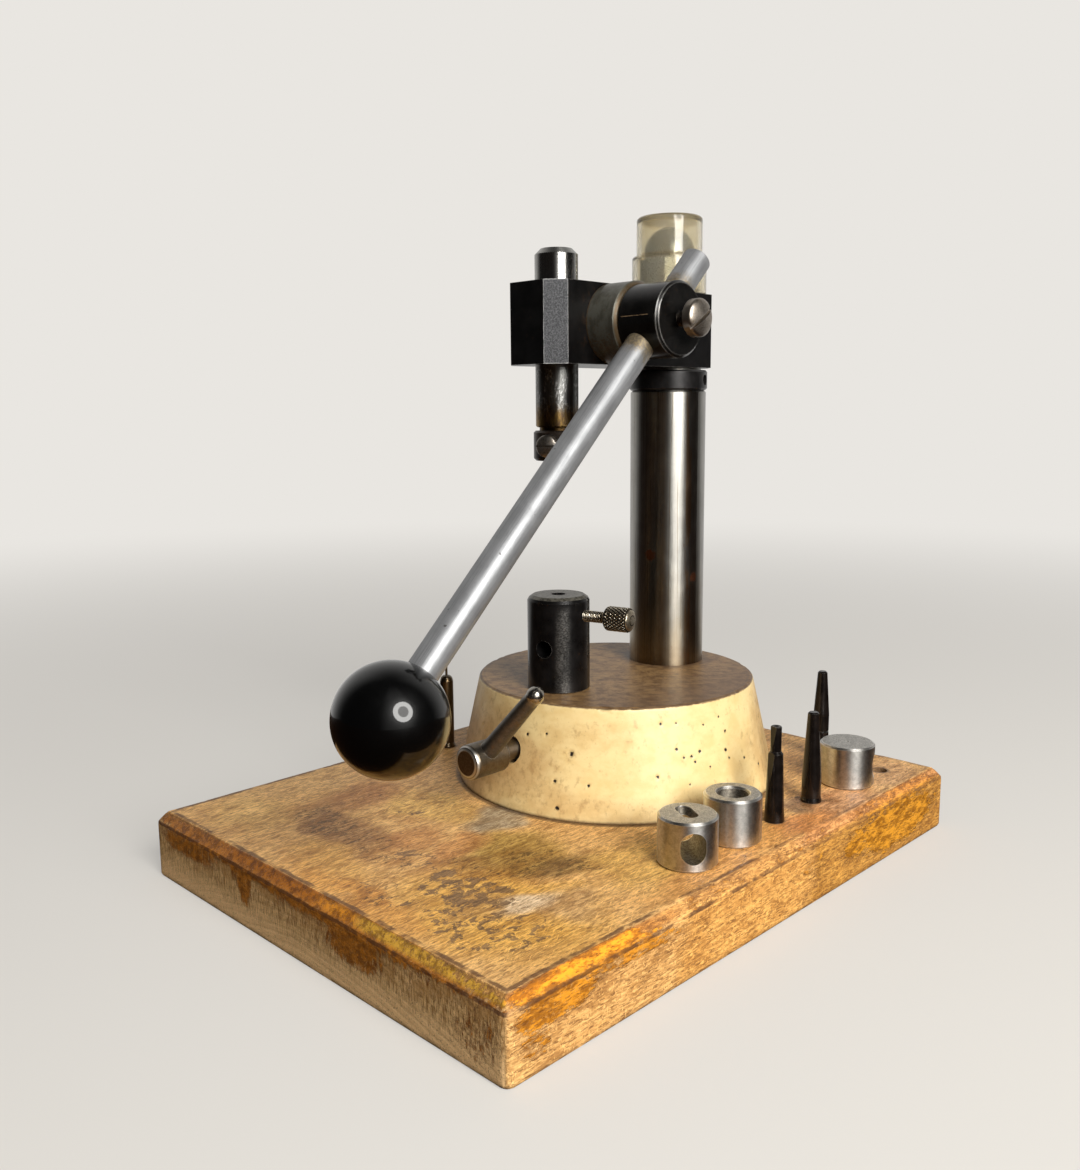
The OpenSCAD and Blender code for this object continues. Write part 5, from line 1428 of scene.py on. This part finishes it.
def build_floor():
    """A floor lit as a surface near the object, and blended into the background further off."""
    grey = (*rgb(212, 208, 201), 1)
    m = Finish("floor", Base_Color=grey, Roughness=0.85, Specular_IOR_Level=0.05)
    glow = m.node("Emission", {0: BACKGROUND})
    share = m.step(m.distance((0, 0, 0)), 260.0, 1500.0, 0.45, 1.0)
    share = m.mul(share, m.node("LightPath").outputs["Is Camera Ray"])
    mixed = m.node("MixShader", {0: share, 1: m.shader.outputs[0], 2: glow.outputs[0]})
    output = next(n for n in m.tree.nodes if n.type == "OUTPUT_MATERIAL")
    m.tree.links.new(mixed.outputs[0], output.inputs[0])
    size = 6.0 / MM
    corners = [(-size, -size, 0), (size, -size, 0), (size, size, 0), (-size, size, 0)]
    floor = surround("floor", corners, m.material, ("camera", "transmission", "shadow"))


def build_card():
    """A dark card under the object, seen by reflections and by soft light from below."""
    toward, beside = Vector((-0.705, 0.709, 0)), Vector((0.709, 0.705, 0))
    far_edge, wide, deep = Vector((-214, 198, -0.4)), 1800, 2400
    spans = ((-wide, 0), (wide, 0), (wide, deep), (-wide, deep))
    corners = [tuple(far_edge + beside * a - toward * b) for a, b in spans]
    material = glowing("ground_card", rgb(42, 26, 16))
    card = surround("ground_card", corners, material, ("diffuse", "glossy"))


def build_lamp():
    """One soft round lamp. Its middle mirrors darker, as a ring does."""
    target, place = Vector((0, 0, 0.1)), Vector((1.15, -0.33, 0.70))
    lamp = bpy.data.lights.new("key", "AREA")
    lamp.shape = "DISK"
    lamp.size = 0.86
    lamp.energy = 29.0
    lamp.color = (1.0, 0.985, 0.955)
    key = bpy.data.objects.new("key", lamp)
    key.location = place
    turn = (place - target).to_track_quat("Z", "Y")
    key.rotation_euler = turn.to_euler()
    scene.collection.objects.link(key)
    in_front, radius, count = 0.03, 220, 48
    centre = (place + (target - place).normalized() * in_front) / MM
    angles = np.linspace(0, 2 * math.pi, count, endpoint=False)
    rim = [(radius * math.cos(a), radius * math.sin(a), 0) for a in angles]
    disc_place = Matrix.Translation(centre) @ turn.to_matrix().to_4x4()
    material = glowing("lamp_middle", (1.0, 0.98, 0.95), 4.0)
    middle = surround("lamp_middle", rim, material, ("glossy",), disc_place)


def build_world():
    """A background pale for the eye, and for reflections bright behind and dark in front."""
    world = bpy.data.worlds.new("studio")
    scene.world = world
    w = Nodes(world)
    direction = w.node("SeparateXYZ", {0: w.node("TexCoord").outputs["Generated"]})
    level = w.calc("DEGREES", w.calc("ARCSINE", direction.outputs[2]))
    angle = w.calc("DEGREES", w.calc("ARCTAN2", direction.outputs[1], direction.outputs[0]))
    round_angle = w.calc("MODULO", w.add(angle, 360.0), 360.0)
    back = w.mul(w.step(round_angle, 46.0, 84.0), w.step(round_angle, 222.0, 176.0))
    back = w.mul(back, w.step(level, 38.0, 86.0, 1.0, 0.03))
    ramp = w.mul(w.step(angle, -62.0, -36.0), w.step(angle, -2.0, 16.0, 1.0, 0.0))
    ramp = w.mul(ramp, w.step(level, 60.0, 84.0, 0.30, 0.02))
    room = w.most(w.mul(back, 0.62), ramp, 0.014)
    light = (1.0, 0.985, 0.96)
    seen = w.node("Background", {0: BACKGROUND})
    mirrored = w.node("Background", {0: light, 1: room})
    fill = w.node("Background", {0: light, 1: 0.26})
    paths = w.node("LightPath")
    glossy, camera_ray = paths.outputs["Is Glossy Ray"], paths.outputs["Is Camera Ray"]
    plain = w.node("MixShader", {0: glossy, 1: fill.outputs[0], 2: mirrored.outputs[0]})
    straight = w.most(camera_ray, paths.outputs["Is Transmission Ray"])
    final = w.node("MixShader", {0: straight, 1: plain.outputs[0], 2: seen.outputs[0]})
    w.node("OutputWorld", {0: final.outputs[0]})


def build_camera():
    """The camera at the photograph's place, solved from its outlines."""
    data = bpy.data.cameras.new("camera")
    data.sensor_fit = "HORIZONTAL"
    data.sensor_width = 36
    data.lens = 36.06
    data.shift_y = -0.0075
    data.clip_start = 0.01
    forward = Vector((-0.69674, 0.70045, -0.15466)).normalized()
    right = Vector((0.70995, 0.70420, -0.00897))
    right = (right - forward * right.dot(forward)).normalized()
    up = right.cross(forward)
    turn = Matrix((right, up, -forward)).transposed()
    obj = bpy.data.objects.new("camera", data)
    obj.matrix_world = Matrix.Translation((0.31529, -0.33366, 0.19460)) @ turn.to_4x4()
    scene.collection.objects.link(obj)
    scene.camera = obj


build_floor()
build_card()
build_lamp()
build_world()
build_camera()
scene.view_settings.view_transform = "Standard"
